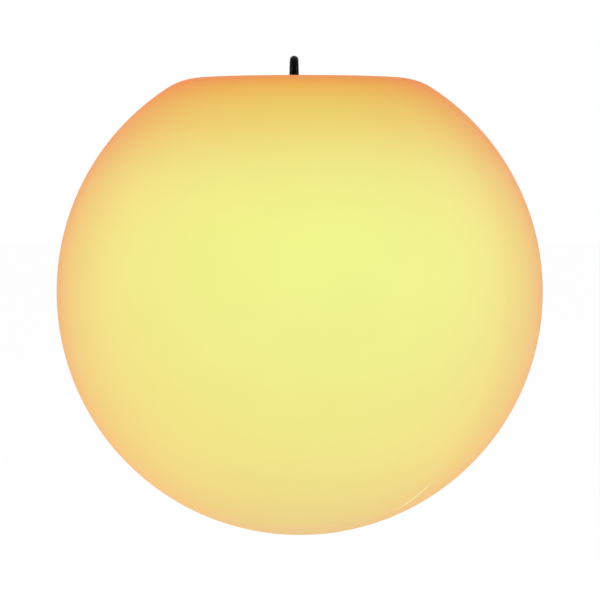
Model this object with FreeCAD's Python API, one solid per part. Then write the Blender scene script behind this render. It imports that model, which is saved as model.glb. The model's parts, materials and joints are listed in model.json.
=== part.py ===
import FreeCAD, Part
import math
import os

"""Hanging garden globe light: a moulded globe with a flat top, and a twist-in light unit sunk in its well.

All lengths are millimetres.  Everything is drawn about the globe's own centre, with +Z up, and each piece is
moved to the part's frame when it is written out.  That frame's origin is the hang point, the underside of the
crown of the hanging bail.  The light unit stands on the globe's axis and twists about it.
"""

Vec = FreeCAD.Vector
UP = Vec(0, 0, 1)
ACROSS = Vec(0, 1, 0)
FULL_TURN = 360.0

# ---- Globe: a moulded ball of even wall ----
GLOBE_R = 175.0
WALL = 3.0
FLAT_Z = 154.0  # the flat top, which is also the face that the globe stands on when it is turned over
FLAT_FILLET = 44.0  # soft corner from the flat into the ball
MOUTH_R = 67.0  # mouth in the flat, with a ledge half way down its edge
LEDGE_IN_R = 64.5
REBATE_Z = FLAT_Z - WALL / 2

# ---- Well cup: welded into the mouth, flush with the flat ----
WELL_R = 58.5
WELL_EDGE = 5.0  # rounded lip of the well
WELL_FLOOR_Z = 134.5
WELL_CORNER = 3.0
NECK_HOLE_R = 44.0  # hole in the well floor

# ---- Neck: the socket ring screwed to the well floor ----
NECK_BORE_R = 38.6
NECK_TUBE_R = 43.7
NECK_TUBE_Z = 118.0
NECK_FLANGE_R = 55.0
NECK_FLANGE_TOP = 137.5
NECK_SCREWS = 6
NECK_SCREW_CIRCLE = 50.5
NECK_SCREW_R = 2.0
NECK_SCREW_LENGTH = 10.0
NECK_SCREW_HOLE_R = 2.25
INSERT_R = 3.0
INSERT_LENGTH = 10.0
BOSS_R = 5.5
BOSS_Z = 122.5
GASKET_IN_R = 40.2
GASKET_OUT_R = 45.6
GASKET_TOP = 139.5

# ---- Bayonet: three lugs on the barrel turn under three lugs in the neck ----
BAYONET_COUNT = 3
BAYONET_ANGLE = 90.0  # azimuth of the first pair of lugs, locked
NECK_LUG_HALF = 21.0
NECK_LUG_IN_R = 36.0
NECK_LUG_LOW = 126.0
NECK_LUG_HIGH = 129.5
NECK_STOP_IN_R = 36.4
NECK_STOP_START = 80.5
NECK_STOP_END = 99.5
BARREL_LUG_HALF = 19.0
BARREL_LUG_R = 38.2
BARREL_LUG_LOW = 121.5
BARREL_LUG_HIGH = 125.6

# ---- Barrel: the sealed housing of the light unit ----
BARREL_R = 35.5
BARREL_BORE_R = 32.5
BARREL_END_Z = 56.0
BARREL_NECK_R = 34.0
BARREL_NECK_Z = 65.0
LEDGE_R = 30.0
LEDGE_Z = 62.0
UNIT_FLANGE_R = 46.0
UNIT_FLANGE_LOW = GASKET_TOP
UNIT_FLANGE_TOP = 142.5
SEAL_GROOVE_IN_R = 34.2
SEAL_GROOVE_OUT_R = 36.4
SEAL_GROOVE_DEPTH = 1.2
SEAL_SIDE_GAP = 0.1

# ---- Cover: the plate on top of the barrel, with the grip rim and the bail's ears ----
COVER_TOP = 145.5
GRIP_IN_R = 42.5
GRIP_TOP = 149.0
GRIP_CHAMFER = 0.8
SCALLOPS = 24
SCALLOP_R = 2.4
SCALLOP_CIRCLE = 47.4
COVER_SCREWS = 4
COVER_SCREW_CIRCLE = 39.7
COVER_SCREW_R = 1.25
COVER_SCREW_HEAD_R = 2.5
COVER_SCREW_HEAD = 1.4
COVER_SCREW_END_Z = 140.3

# ---- Hanging bail: a moulded arch on two pins ----
BAIL_X = -4.0
BAIL_HALF_SPAN = 15.5
BAIL_ROD_R = 2.95
BAIL_PIVOT_Z = 149.8
BAIL_ARCH_Z = 151.75
BAIL_EYE_R = 4.0
BAIL_EYE_WIDTH = 6.4
PIN_R = 1.5
PIN_RUNNING_GAP = 0.06
EAR_GAP = 0.4
EAR_THICKNESS = 3.0
EAR_R = 4.2
HANG_Z = BAIL_ARCH_Z + BAIL_HALF_SPAN - BAIL_ROD_R

# ---- Mode button ----
BUTTON_X = 23.5
BUTTON_R = 6.3
BUTTON_HOLE_R = 6.8
BUTTON_TOP = 146.6
BUTTON_DISH = 0.5
BUTTON_SKIRT_R = 7.8
BUTTON_SKIRT_LOW = 141.3
BUTTON_SKIRT_TOP = 142.4
BUTTON_STEM_R = 1.5
BUTTON_STEM_LOW = 140.4
BOOT_R = 8.8
BOOT_WALL = 0.6
BOOT_FLOOR_LOW = 138.7
BOOT_FLOOR = 0.5

# ---- Charging port ----
PORT_X = -29.1
PORT_HALF_X = 3.5
PORT_HALF_Y = 6.8
PORT_CORNER = 1.5
FLAP_PIVOT_X = -34.9
FLAP_PIVOT_Z = 147.2
FLAP_LOW = 145.8
FLAP_TOP = 147.4
FLAP_NEAR_X = -32.9
FLAP_FAR_X = -24.9
FLAP_HALF_Y = 8.0
FLAP_LIP = 1.0
FLAP_LIP_TOP = 147.9
KNUCKLE_R = 1.4
KNUCKLE_HALF_Y = 5.9
LUG_R = 1.6
LUG_IN_Y = 6.3
LUG_OUT_Y = 8.3
FLAP_PIN_R = 0.6
FLAP_PIN_GAP = 0.05
PLUG_NEAR_X = -31.9
PLUG_FAR_X = -26.4
PLUG_HALF_Y = 6.2
PLUG_LOW = 144.4
SOCKET_HALF_X = 1.6
SOCKET_HALF_Y = 4.5
SOCKET_WALL = 0.3
SOCKET_TOP = 142.9
SOCKET_FLOOR = 0.8
TONGUE_HALF_X = 0.35
TONGUE_HALF_Y = 3.35
TONGUE_TOP = 142.2

# ---- Charge light ----
PIPE_Y = -28.0
PIPE_R = 2.5
PIPE_LOW = 138.0
PIPE_COLLAR_R = 3.6
PIPE_COLLAR_LOW = 141.3

# ---- Control board ----
BOARD_LOW = 134.4
BOARD_TOP = 136.0
BOARD_R = 31.8
BOARD_SCREWS = 3
BOARD_SCREW_CIRCLE = 28.6
BOARD_SCREW_ANGLE = 90.0
BOARD_SCREW_R = 1.2
BOARD_SCREW_LENGTH = 8.0
BOARD_HOLE_R = 1.4
BOARD_BOSS_R = 3.2
BOARD_BOSS_LOW = 122.0
SWITCH_SIDE = 6.2
SWITCH_TOP = 138.1
PLUNGER_R = 1.6
PLUNGER_TOP = 138.6

# ---- Battery: two standard 18650 cells, side by side ----
CELL_R = 9.2
CELL_X = 9.7
CELL_LOW = 66.4
CELL_HIGH = 131.6
CELL_NUB_R = 3.5
CELL_NUB = 0.5
STRAP = 0.2
STRAP_WIDTH = 6.0
STRAP_LENGTH = 30.0
HOLDER_X = 42.0
HOLDER_Y = 22.8
HOLDER_CORNER = 5.0
HOLDER_LOW = 65.0
HOLDER_TOP = 133.2
RAIL_X = 8.0
RAIL_CENTRE_X = 10.0
RAIL_IN_Y = 9.5
RAIL_OUT_Y = 11.0
LEAD_R = 0.7
LEAD_HOLE_R = 1.0
RETURN_LEAD_Y = -12.6
PAD_X = 30.0
PAD_Y = 16.0

# ---- Lamp end ----
SPREADER_R = 32.3
SPREADER_TOP = 65.0
SPREADER_RIM = 1.6
SPREADER_RIM_TOP = 76.0
LED_BOARD_R = 29.7
LED_BOARD_LOW = 60.5
LED_SIDE = 3.5
LED_HEIGHT = 0.8
LED_RINGS = ((12, 20.5), (5, 10.0))  # how many, and on what circle
LED_SCREWS = 3
LED_SCREW_CIRCLE = 26.0
LED_SCREW_ANGLE = 30.0
LED_LEAD_X = 2.5
LED_LEAD_Y = 15.5
LED_LEAD_END_Z = 60.2
LENS_R = 28.5
LENS_WALL = 2.0
LENS_Z = 55.0
LENS_FLANGE_R = 33.6
LENS_FLANGE = 1.8
LENS_SEAL_IN_R = 30.6
LENS_RING_LIP_R = 29.2
LENS_RING_LIP = 1.8
LENS_RING_NOTCHES = 18
LENS_RING_NOTCH_R = 1.2
LENS_RING_NOTCH_CIRCLE = 36.1


# ---- Basic forms ----
def disc(radius, low, high, x=0.0, y=0.0):
    """Upright cylinder between two heights."""
    return Part.makeCylinder(radius, high - low, Vec(x, y, low))


def ring(inner, outer, low, high, x=0.0, y=0.0):
    """Upright tube between two heights."""
    return disc(outer, low, high, x, y).cut(disc(inner, low, high, x, y))


def block(size_x, size_y, low, high, x=0.0, y=0.0):
    """Upright box centred on (x, y)."""
    corner = Vec(x - size_x / 2, y - size_y / 2, low)
    return Part.makeBox(size_x, size_y, high - low, corner)


def rounded_block(size_x, size_y, corner, low, high, x=0.0, y=0.0):
    """Upright box with its four standing edges rounded."""
    shape = block(size_x, size_y, low, high, x, y)
    standing = [e for e in shape.Edges if abs(e.BoundBox.ZLength - (high - low)) < 1e-6]
    return shape.makeFillet(corner, standing)


def rod_across(radius, y_start, y_end, x, z):
    """Cylinder along Y between two places."""
    return Part.makeCylinder(radius, y_end - y_start, Vec(x, y_start, z), ACROSS)


def turned(shape, degrees):
    """A copy of a shape, turned about the globe's axis."""
    copy = shape.copy()
    copy.rotate(Vec(0, 0, 0), UP, degrees)
    return copy


def around(shape, count, first=0.0):
    """Equal copies of a shape, spaced evenly about the globe's axis."""
    return [turned(shape, first + step * FULL_TURN / count) for step in range(count)]


def sector(inner, outer, low, high, start, end):
    """The stretch of a tube between two azimuths."""
    wedge = Part.makeCylinder(outer, high - low, Vec(0, 0, low), UP, end - start)
    return turned(wedge.cut(disc(inner, low, high)), start)


def line(start, end):
    """Straight edge in the half section, between two (radius, height) points."""
    return Part.makeLine(Vec(start[0], 0, start[1]), Vec(end[0], 0, end[1]))


def arc(centre, radius, start, end):
    """Round edge in the half section, from one angle to another, in degrees from level."""
    points = []
    for angle in (start, (start + end) / 2, end):
        turn = math.radians(angle)
        points.append(Vec(centre[0] + radius * math.cos(turn), 0, centre[1] + radius * math.sin(turn)))
    return Part.Arc(*points).toShape()


def revolved(edges):
    """Solid of revolution about the globe's axis from the edges of a half section."""
    return Part.Face(Part.Wire(edges)).revolve(Vec(0, 0, 0), UP, FULL_TURN)


def lathed(points):
    """Solid of revolution from the (radius, height) corners of a half section."""
    closed = list(points) + [points[0]]
    return revolved([line(a, b) for a, b in zip(closed, closed[1:])])


def cross_recess(reach, width, depth, top):
    """The cross-shaped pocket of a screw head, cut from the top down."""
    bar = block(2 * reach, width, top - depth, top + 1)
    return bar.fuse(turned(bar, 90))


def pan_screw(radius, length, head_radius, head_height):
    """Screw with a rounded head, standing with the head's underside at height 0."""
    point = radius / 2
    body = lathed([
        (0, -length), (radius - point, -length), (radius, point - length), (radius, 0), (head_radius, 0),
        (head_radius, 0.45 * head_height), (0.86 * head_radius, 0.8 * head_height),
        (0.6 * head_radius, head_height), (0, head_height),
    ])
    return body.cut(cross_recess(0.55 * head_radius, 0.24 * head_radius, 0.55 * head_height, head_height))


def countersunk_screw(radius, length, head_radius, head_height):
    """Screw with a flush conical head, standing with the head's face at height 0."""
    body = lathed([
        (0, -length), (radius, -length), (radius, -head_height), (head_radius, -0.2 * head_height),
        (head_radius, 0), (0, 0),
    ])
    return body.cut(cross_recess(0.6 * head_radius, 0.26 * head_radius, 0.6 * head_height, 0))


def placed(shape, x, y, z):
    """A copy of a shape, moved."""
    copy = shape.copy()
    copy.translate(Vec(x, y, z))
    return copy


def upside_down(shape):
    """A copy of a shape, turned over about X."""
    copy = shape.copy()
    copy.rotate(Vec(0, 0, 0), Vec(1, 0, 0), 180)
    return copy


def group(solids):
    """Separate solids that make up one node."""
    return Part.makeCompound(list(solids))


# ---- Globe and neck ----
def globe_shell():
    """Hollow ball with a flat top and a rebated mouth in the flat, where the well cup is let in."""
    corner_z = FLAT_Z - FLAT_FILLET
    corner_r = math.sqrt((GLOBE_R - FLAT_FILLET) ** 2 - corner_z ** 2)
    blend = math.degrees(math.atan2(corner_z, corner_r))
    corner = (corner_r, corner_z)
    inner_r = GLOBE_R - WALL
    inner_flat = FLAT_Z - WALL
    return revolved([
        arc((0, 0), GLOBE_R, -90, blend),
        arc(corner, FLAT_FILLET, blend, 90),
        line((corner_r, FLAT_Z), (MOUTH_R, FLAT_Z)),
        line((MOUTH_R, FLAT_Z), (MOUTH_R, REBATE_Z)),
        line((MOUTH_R, REBATE_Z), (LEDGE_IN_R, REBATE_Z)),
        line((LEDGE_IN_R, REBATE_Z), (LEDGE_IN_R, inner_flat)),
        line((LEDGE_IN_R, inner_flat), (corner_r, inner_flat)),
        arc(corner, FLAT_FILLET - WALL, 90, blend),
        arc((0, 0), inner_r, blend, -90),
        line((0, -inner_r), (0, -GLOBE_R)),
    ])


def well_cup():
    """Cup welded into the ball's mouth: a stepped flange, a rounded lip, and a floor with a hole and six bosses."""
    lip = (WELL_R + WELL_EDGE, FLAT_Z - WELL_EDGE)
    heel = (WELL_R - WELL_CORNER, WELL_FLOOR_Z + WELL_CORNER)
    inner_floor = WELL_FLOOR_Z - WALL
    inner_flat = FLAT_Z - WALL
    cup = revolved([
        line((MOUTH_R, REBATE_Z), (MOUTH_R, FLAT_Z)),
        line((MOUTH_R, FLAT_Z), (lip[0], FLAT_Z)),
        arc(lip, WELL_EDGE, 90, 180),
        line((WELL_R, lip[1]), (WELL_R, heel[1])),
        arc(heel, WELL_CORNER, 0, -90),
        line((heel[0], WELL_FLOOR_Z), (NECK_HOLE_R, WELL_FLOOR_Z)),
        line((NECK_HOLE_R, WELL_FLOOR_Z), (NECK_HOLE_R, inner_floor)),
        line((NECK_HOLE_R, inner_floor), (heel[0], inner_floor)),
        arc(heel, WELL_CORNER + WALL, -90, 0),
        line((WELL_R + WALL, heel[1]), (WELL_R + WALL, lip[1])),
        arc(lip, WELL_EDGE - WALL, 180, 90),
        line((lip[0], inner_flat), (LEDGE_IN_R, inner_flat)),
        line((LEDGE_IN_R, inner_flat), (LEDGE_IN_R, REBATE_Z)),
        line((LEDGE_IN_R, REBATE_Z), (MOUTH_R, REBATE_Z)),
    ])
    boss = disc(BOSS_R, BOSS_Z, inner_floor + WALL / 2, NECK_SCREW_CIRCLE)
    pocket = disc(INSERT_R, WELL_FLOOR_Z - INSERT_LENGTH, WELL_FLOOR_Z, NECK_SCREW_CIRCLE)
    return cup.fuse(around(boss, NECK_SCREWS)).cut(group(around(pocket, NECK_SCREWS)))


def neck_inserts():
    """Blind threaded inserts moulded into the bosses of the well cup."""
    low = WELL_FLOOR_Z - INSERT_LENGTH
    groove_low = low + 0.4 * INSERT_LENGTH
    groove = ring(INSERT_R - 0.4, INSERT_R, groove_low, groove_low + 0.2 * INSERT_LENGTH)
    insert = disc(INSERT_R, low, WELL_FLOOR_Z).cut(groove)
    insert = insert.cut(disc(NECK_SCREW_R, low + 1.0, WELL_FLOOR_Z))
    return group(around(placed(insert, NECK_SCREW_CIRCLE, 0, 0), NECK_SCREWS))


def neck_ring():
    """Socket ring: a flange on the well's floor, a tube through its hole, and the inner half of the bayonet."""
    edge = 0.8
    body = lathed([
        (NECK_BORE_R, NECK_TUBE_Z), (NECK_TUBE_R, NECK_TUBE_Z), (NECK_TUBE_R, WELL_FLOOR_Z),
        (NECK_FLANGE_R, WELL_FLOOR_Z), (NECK_FLANGE_R, NECK_FLANGE_TOP - edge),
        (NECK_FLANGE_R - edge, NECK_FLANGE_TOP), (NECK_BORE_R, NECK_FLANGE_TOP),
    ])
    grip = 0.5  # how far the lugs and stops reach into the tube's wall, to be one with it
    lug = sector(NECK_LUG_IN_R, NECK_BORE_R + grip, NECK_LUG_LOW, NECK_LUG_HIGH, -NECK_LUG_HALF, NECK_LUG_HALF)
    stop = sector(NECK_STOP_IN_R, NECK_BORE_R + grip, NECK_TUBE_Z, NECK_LUG_LOW, NECK_STOP_START, NECK_STOP_END)
    lugs = around(lug, BAYONET_COUNT, BAYONET_ANGLE)
    stops = around(stop, BAYONET_COUNT, BAYONET_ANGLE)
    hole = disc(NECK_SCREW_HOLE_R, WELL_FLOOR_Z, NECK_FLANGE_TOP, NECK_SCREW_CIRCLE)
    return body.fuse(lugs + stops).cut(group(around(hole, NECK_SCREWS)))


def neck_ring_screws():
    """Six rounded-head screws that hold the socket ring to the well cup."""
    screw = pan_screw(NECK_SCREW_R, NECK_SCREW_LENGTH, 3.6, 2.4)
    return group(around(placed(screw, NECK_SCREW_CIRCLE, 0, NECK_FLANGE_TOP), NECK_SCREWS))


def neck_gasket():
    """Flat soft ring between the socket ring and the light unit's flange."""
    edge = 0.5
    return lathed([
        (GASKET_IN_R, NECK_FLANGE_TOP), (GASKET_OUT_R, NECK_FLANGE_TOP), (GASKET_OUT_R, GASKET_TOP - edge),
        (GASKET_OUT_R - edge, GASKET_TOP), (GASKET_IN_R + edge, GASKET_TOP), (GASKET_IN_R, GASKET_TOP - edge),
    ])


# ---- Light unit: housing ----
def unit_barrel():
    """Housing tube with its flange, the outer half of the bayonet, a ledge for the lamp and three board bosses."""
    groove_z = UNIT_FLANGE_TOP - SEAL_GROOVE_DEPTH
    body = lathed([
        (LEDGE_R, BARREL_END_Z), (BARREL_NECK_R, BARREL_END_Z), (BARREL_NECK_R, BARREL_NECK_Z),
        (BARREL_R, BARREL_NECK_Z), (BARREL_R, UNIT_FLANGE_LOW), (UNIT_FLANGE_R, UNIT_FLANGE_LOW),
        (UNIT_FLANGE_R, UNIT_FLANGE_TOP), (SEAL_GROOVE_OUT_R, UNIT_FLANGE_TOP), (SEAL_GROOVE_OUT_R, groove_z),
        (SEAL_GROOVE_IN_R, groove_z), (SEAL_GROOVE_IN_R, UNIT_FLANGE_TOP), (BARREL_BORE_R, UNIT_FLANGE_TOP),
        (BARREL_BORE_R, LEDGE_Z), (LEDGE_R, LEDGE_Z),
    ])
    root = BARREL_R - 0.5
    lug = sector(root, BARREL_LUG_R, BARREL_LUG_LOW, BARREL_LUG_HIGH, -BARREL_LUG_HALF, BARREL_LUG_HALF)
    boss = disc(BOARD_BOSS_R, BOARD_BOSS_LOW, BOARD_LOW, BOARD_SCREW_CIRCLE)
    pilot = disc(BOARD_SCREW_R, BOARD_LOW - BOARD_SCREW_LENGTH, BOARD_LOW, BOARD_SCREW_CIRCLE)
    web = block(4.0, 3.0, BOARD_BOSS_LOW, BOARD_LOW, BARREL_BORE_R - 1.0)
    bosses = around(boss.fuse(web), BOARD_SCREWS, BOARD_SCREW_ANGLE)
    body = body.fuse(around(lug, BAYONET_COUNT, BAYONET_ANGLE) + bosses)
    cover_hole = disc(COVER_SCREW_R, COVER_SCREW_END_Z, UNIT_FLANGE_TOP, COVER_SCREW_CIRCLE)
    pilots = around(pilot, BOARD_SCREWS, BOARD_SCREW_ANGLE)
    return body.cut(group(pilots + around(cover_hole, COVER_SCREWS, 45)))


def unit_cover():
    """Cover plate with a scalloped grip rim, ears for the bail, and places for the button, port and charge light."""
    plate = lathed([
        (0, UNIT_FLANGE_TOP), (UNIT_FLANGE_R, UNIT_FLANGE_TOP), (UNIT_FLANGE_R, GRIP_TOP - GRIP_CHAMFER),
        (UNIT_FLANGE_R - GRIP_CHAMFER, GRIP_TOP), (GRIP_IN_R + GRIP_CHAMFER, GRIP_TOP),
        (GRIP_IN_R, GRIP_TOP - GRIP_CHAMFER), (GRIP_IN_R, COVER_TOP), (0, COVER_TOP),
    ])
    scallop = disc(SCALLOP_R, COVER_TOP - 1.0, GRIP_TOP + 1.0, SCALLOP_CIRCLE)
    plate = plate.cut(group(around(scallop, SCALLOPS)))
    plate = plate.fuse(bail_ears() + flap_lugs())
    head_hole = countersunk_screw_hole()
    cuts = around(head_hole, COVER_SCREWS, 45)
    cuts.append(disc(BUTTON_HOLE_R, UNIT_FLANGE_TOP, COVER_TOP, BUTTON_X))
    cuts.append(disc(PIPE_R, UNIT_FLANGE_TOP, COVER_TOP, 0, PIPE_Y))
    cuts.append(rounded_block(2 * PORT_HALF_X, 2 * PORT_HALF_Y, PORT_CORNER, UNIT_FLANGE_TOP, COVER_TOP, PORT_X))
    return plate.cut(group(cuts))


def countersunk_screw_hole():
    """The conical hole that a cover screw sits in."""
    low = UNIT_FLANGE_TOP
    seat = COVER_TOP - COVER_SCREW_HEAD
    rim = COVER_TOP - 0.2 * COVER_SCREW_HEAD
    shape = lathed([
        (0, low), (COVER_SCREW_R, low), (COVER_SCREW_R, seat), (COVER_SCREW_HEAD_R, rim),
        (COVER_SCREW_HEAD_R, COVER_TOP), (0, COVER_TOP),
    ])
    return placed(shape, COVER_SCREW_CIRCLE, 0, 0)


def bail_ears():
    """Four ears, one each side of each foot of the bail, with bores for the pins."""
    ears = []
    half_gap = BAIL_EYE_WIDTH / 2 + EAR_GAP
    for centre in (-BAIL_HALF_SPAN, BAIL_HALF_SPAN):
        for start in (centre - half_gap - EAR_THICKNESS, centre + half_gap):
            head = rod_across(EAR_R, start, start + EAR_THICKNESS, BAIL_X, BAIL_PIVOT_Z)
            foot = block(2 * EAR_R, EAR_THICKNESS, COVER_TOP - 1.0, BAIL_PIVOT_Z, BAIL_X, start + EAR_THICKNESS / 2)
            bore = rod_across(PIN_R, start, start + EAR_THICKNESS, BAIL_X, BAIL_PIVOT_Z)
            ears.append(head.fuse(foot).cut(bore))
    return ears


def flap_lugs():
    """Two lugs that carry the pin of the port's flap."""
    lugs = []
    width = LUG_OUT_Y - LUG_IN_Y
    for start in (LUG_IN_Y, -LUG_OUT_Y):
        head = rod_across(LUG_R, start, start + width, FLAP_PIVOT_X, FLAP_PIVOT_Z)
        foot = block(2 * LUG_R, width, COVER_TOP - 1.0, FLAP_PIVOT_Z, FLAP_PIVOT_X, start + width / 2)
        bore = rod_across(FLAP_PIN_R, start, start + width, FLAP_PIVOT_X, FLAP_PIVOT_Z)
        lugs.append(head.fuse(foot).cut(bore))
    return lugs


def cover_seal():
    """Soft ring in the groove of the flange, pressed by the cover."""
    inner = SEAL_GROOVE_IN_R + SEAL_SIDE_GAP
    outer = SEAL_GROOVE_OUT_R - SEAL_SIDE_GAP
    return ring(inner, outer, UNIT_FLANGE_TOP - SEAL_GROOVE_DEPTH, UNIT_FLANGE_TOP)


def cover_screws():
    """Four flush screws that hold the cover to the flange."""
    length = COVER_TOP - COVER_SCREW_END_Z
    screw = countersunk_screw(COVER_SCREW_R, length, COVER_SCREW_HEAD_R, COVER_SCREW_HEAD)
    return group(around(placed(screw, COVER_SCREW_CIRCLE, 0, COVER_TOP), COVER_SCREWS, 45))


# ---- Hanging bail ----
def hanging_bail():
    """Round arch on two feet, with an eye at each foot."""
    low = Vec(BAIL_X, -BAIL_HALF_SPAN, BAIL_PIVOT_Z)
    spring = Vec(BAIL_X, -BAIL_HALF_SPAN, BAIL_ARCH_Z)
    crown = Vec(BAIL_X, 0, BAIL_ARCH_Z + BAIL_HALF_SPAN)
    far_spring = Vec(BAIL_X, BAIL_HALF_SPAN, BAIL_ARCH_Z)
    far_low = Vec(BAIL_X, BAIL_HALF_SPAN, BAIL_PIVOT_Z)
    path = Part.Wire([
        Part.makeLine(low, spring),
        Part.Arc(spring, crown, far_spring).toShape(),
        Part.makeLine(far_spring, far_low),
    ])
    section = Part.Wire([Part.makeCircle(BAIL_ROD_R, low, UP)])
    rod = path.makePipeShell([section], True, False)
    eyes = []
    bores = []
    for centre in (-BAIL_HALF_SPAN, BAIL_HALF_SPAN):
        start = centre - BAIL_EYE_WIDTH / 2
        eyes.append(rod_across(BAIL_EYE_R, start, start + BAIL_EYE_WIDTH, BAIL_X, BAIL_PIVOT_Z))
        bores.append(rod_across(PIN_R + PIN_RUNNING_GAP, start, start + BAIL_EYE_WIDTH, BAIL_X, BAIL_PIVOT_Z))
    trim = block(4 * BAIL_ROD_R, 4 * BAIL_HALF_SPAN, BAIL_PIVOT_Z - 2 * BAIL_ROD_R, BAIL_PIVOT_Z, BAIL_X)
    return rod.cut(trim).fuse(eyes).cut(group(bores))


def bail_pivot_pins():
    """Two steel pins, one through each foot of the bail."""
    pins = []
    half = BAIL_EYE_WIDTH / 2 + EAR_GAP + EAR_THICKNESS
    for centre in (-BAIL_HALF_SPAN, BAIL_HALF_SPAN):
        pins.append(rod_across(PIN_R, centre - half, centre + half, BAIL_X, BAIL_PIVOT_Z))
    return group(pins)


# ---- Button ----
def mode_button():
    """Round push cap with a dished top, a skirt that keeps it in, and a stem."""
    dish_r = 30.0
    cap = disc(BUTTON_R, BUTTON_SKIRT_TOP, BUTTON_TOP, BUTTON_X)
    rim = [e for e in cap.Edges if e.BoundBox.ZMin > BUTTON_TOP - 0.01]
    cap = cap.makeFillet(0.6, rim)
    dish = Part.makeSphere(dish_r, Vec(BUTTON_X, 0, BUTTON_TOP - BUTTON_DISH + dish_r))
    skirt = disc(BUTTON_SKIRT_R, BUTTON_SKIRT_LOW, BUTTON_SKIRT_TOP, BUTTON_X)
    stem = disc(BUTTON_STEM_R, BUTTON_STEM_LOW, BUTTON_SKIRT_LOW, BUTTON_X)
    return cap.cut(dish).fuse([skirt, stem])


def button_boot():
    """Thin soft cup under the button, which keeps water out."""
    floor_top = BOOT_FLOOR_LOW + BOOT_FLOOR
    cup = disc(BOOT_R, BOOT_FLOOR_LOW, UNIT_FLANGE_TOP, BUTTON_X)
    return cup.cut(disc(BOOT_R - BOOT_WALL, floor_top, UNIT_FLANGE_TOP, BUTTON_X))


def button_switch():
    """Low push switch on the control board."""
    body = rounded_block(SWITCH_SIDE, SWITCH_SIDE, 0.5, BOARD_TOP, SWITCH_TOP, BUTTON_X)
    return body.fuse(disc(PLUNGER_R, SWITCH_TOP, PLUNGER_TOP, BUTTON_X))


# ---- Charging port ----
def port_cover():
    """Flap over the charging port: a plate with a lip, on a knuckle that turns on the pin."""
    size_x = FLAP_FAR_X - FLAP_NEAR_X
    middle = (FLAP_FAR_X + FLAP_NEAR_X) / 2
    plate = rounded_block(size_x, 2 * FLAP_HALF_Y, 1.2, FLAP_LOW, FLAP_TOP, middle)
    lip = block(FLAP_LIP, 2 * KNUCKLE_HALF_Y, FLAP_LOW, FLAP_LIP_TOP, FLAP_FAR_X - FLAP_LIP / 2)
    arm = block(FLAP_NEAR_X - FLAP_PIVOT_X + 1.0, 2 * KNUCKLE_HALF_Y, FLAP_LOW, FLAP_TOP,
                (FLAP_NEAR_X + FLAP_PIVOT_X + 1.0) / 2)
    knuckle = rod_across(KNUCKLE_R, -KNUCKLE_HALF_Y, KNUCKLE_HALF_Y, FLAP_PIVOT_X, FLAP_PIVOT_Z)
    bore = rod_across(FLAP_PIN_R + FLAP_PIN_GAP, -KNUCKLE_HALF_Y, KNUCKLE_HALF_Y, FLAP_PIVOT_X, FLAP_PIVOT_Z)
    return plate.fuse([lip, arm, knuckle]).cut(bore)


def port_cover_pin():
    """Steel pin of the port's flap."""
    return rod_across(FLAP_PIN_R, -LUG_OUT_Y, LUG_OUT_Y, FLAP_PIVOT_X, FLAP_PIVOT_Z)


def port_plug():
    """Soft plug under the flap, which closes the port's recess."""
    size_x = PLUG_FAR_X - PLUG_NEAR_X
    middle = (PLUG_FAR_X + PLUG_NEAR_X) / 2
    return rounded_block(size_x, 2 * PLUG_HALF_Y, 1.0, PLUG_LOW, FLAP_LOW, middle)


def charge_socket():
    """USB-C receptacle standing on the board: a flat-sided metal sleeve with a tongue in it."""
    size_x = 2 * SOCKET_HALF_X
    size_y = 2 * SOCKET_HALF_Y
    sleeve = rounded_block(size_x, size_y, SOCKET_HALF_X - 0.05, BOARD_TOP, SOCKET_TOP, PORT_X)
    mouth_x = size_x - 2 * SOCKET_WALL
    mouth_y = size_y - 2 * SOCKET_WALL
    floor = BOARD_TOP + SOCKET_FLOOR
    mouth = rounded_block(mouth_x, mouth_y, mouth_x / 2 - 0.05, floor, SOCKET_TOP, PORT_X)
    tongue = block(2 * TONGUE_HALF_X, 2 * TONGUE_HALF_Y, BOARD_TOP, TONGUE_TOP, PORT_X)
    return sleeve.cut(mouth).fuse(tongue)


def indicator_window():
    """Clear light pipe that shows the charge light through the cover."""
    pipe = disc(PIPE_R, PIPE_LOW, COVER_TOP, 0, PIPE_Y)
    collar = disc(PIPE_COLLAR_R, PIPE_COLLAR_LOW, UNIT_FLANGE_TOP, 0, PIPE_Y)
    return pipe.fuse(collar)


# ---- Control board ----
def control_board():
    """Round circuit board with three screw holes and the holes for the leads."""
    board = disc(BOARD_R, BOARD_LOW, BOARD_TOP)
    hole = disc(BOARD_HOLE_R, BOARD_LOW, BOARD_TOP, BOARD_SCREW_CIRCLE)
    return board.cut(group(around(hole, BOARD_SCREWS, BOARD_SCREW_ANGLE)))


def board_components():
    """The parts soldered on the board: chips, a coil, capacitors, the charge light and two lead sockets."""
    boxes = (  # x, y, size along x, size along y, height
        (3.0, 6.0, 7.0, 7.0, 1.0), (-9.0, -8.0, 5.0, 4.0, 1.4), (10.5, -10.0, 4.0, 5.0, 1.2),
        (0.0, PIPE_Y, 3.2, 1.6, 1.0), (-13.0, 16.0, 8.0, 5.0, 4.5), (13.0, 17.0, 8.0, 5.0, 4.5),
        (-19.0, -3.0, 2.0, 1.2, 0.8), (-19.0, 1.0, 2.0, 1.2, 0.8), (2.0, -14.0, 2.0, 1.2, 0.8),
    )
    cans = ((-10.0, 4.0, 3.5, 3.6), (-4.0, -18.0, 2.5, 5.2), (12.0, 2.0, 2.0, 4.8))  # x, y, radius, height
    solids = [block(sx, sy, BOARD_TOP, BOARD_TOP + high, x, y) for x, y, sx, sy, high in boxes]
    solids += [disc(radius, BOARD_TOP, BOARD_TOP + high, x, y) for x, y, radius, high in cans]
    return group(solids)


def board_screws():
    """Three screws that hold the board to the barrel's bosses."""
    screw = pan_screw(BOARD_SCREW_R, BOARD_SCREW_LENGTH, 2.3, 1.6)
    return group(around(placed(screw, BOARD_SCREW_CIRCLE, 0, BOARD_TOP), BOARD_SCREWS, BOARD_SCREW_ANGLE))


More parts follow.
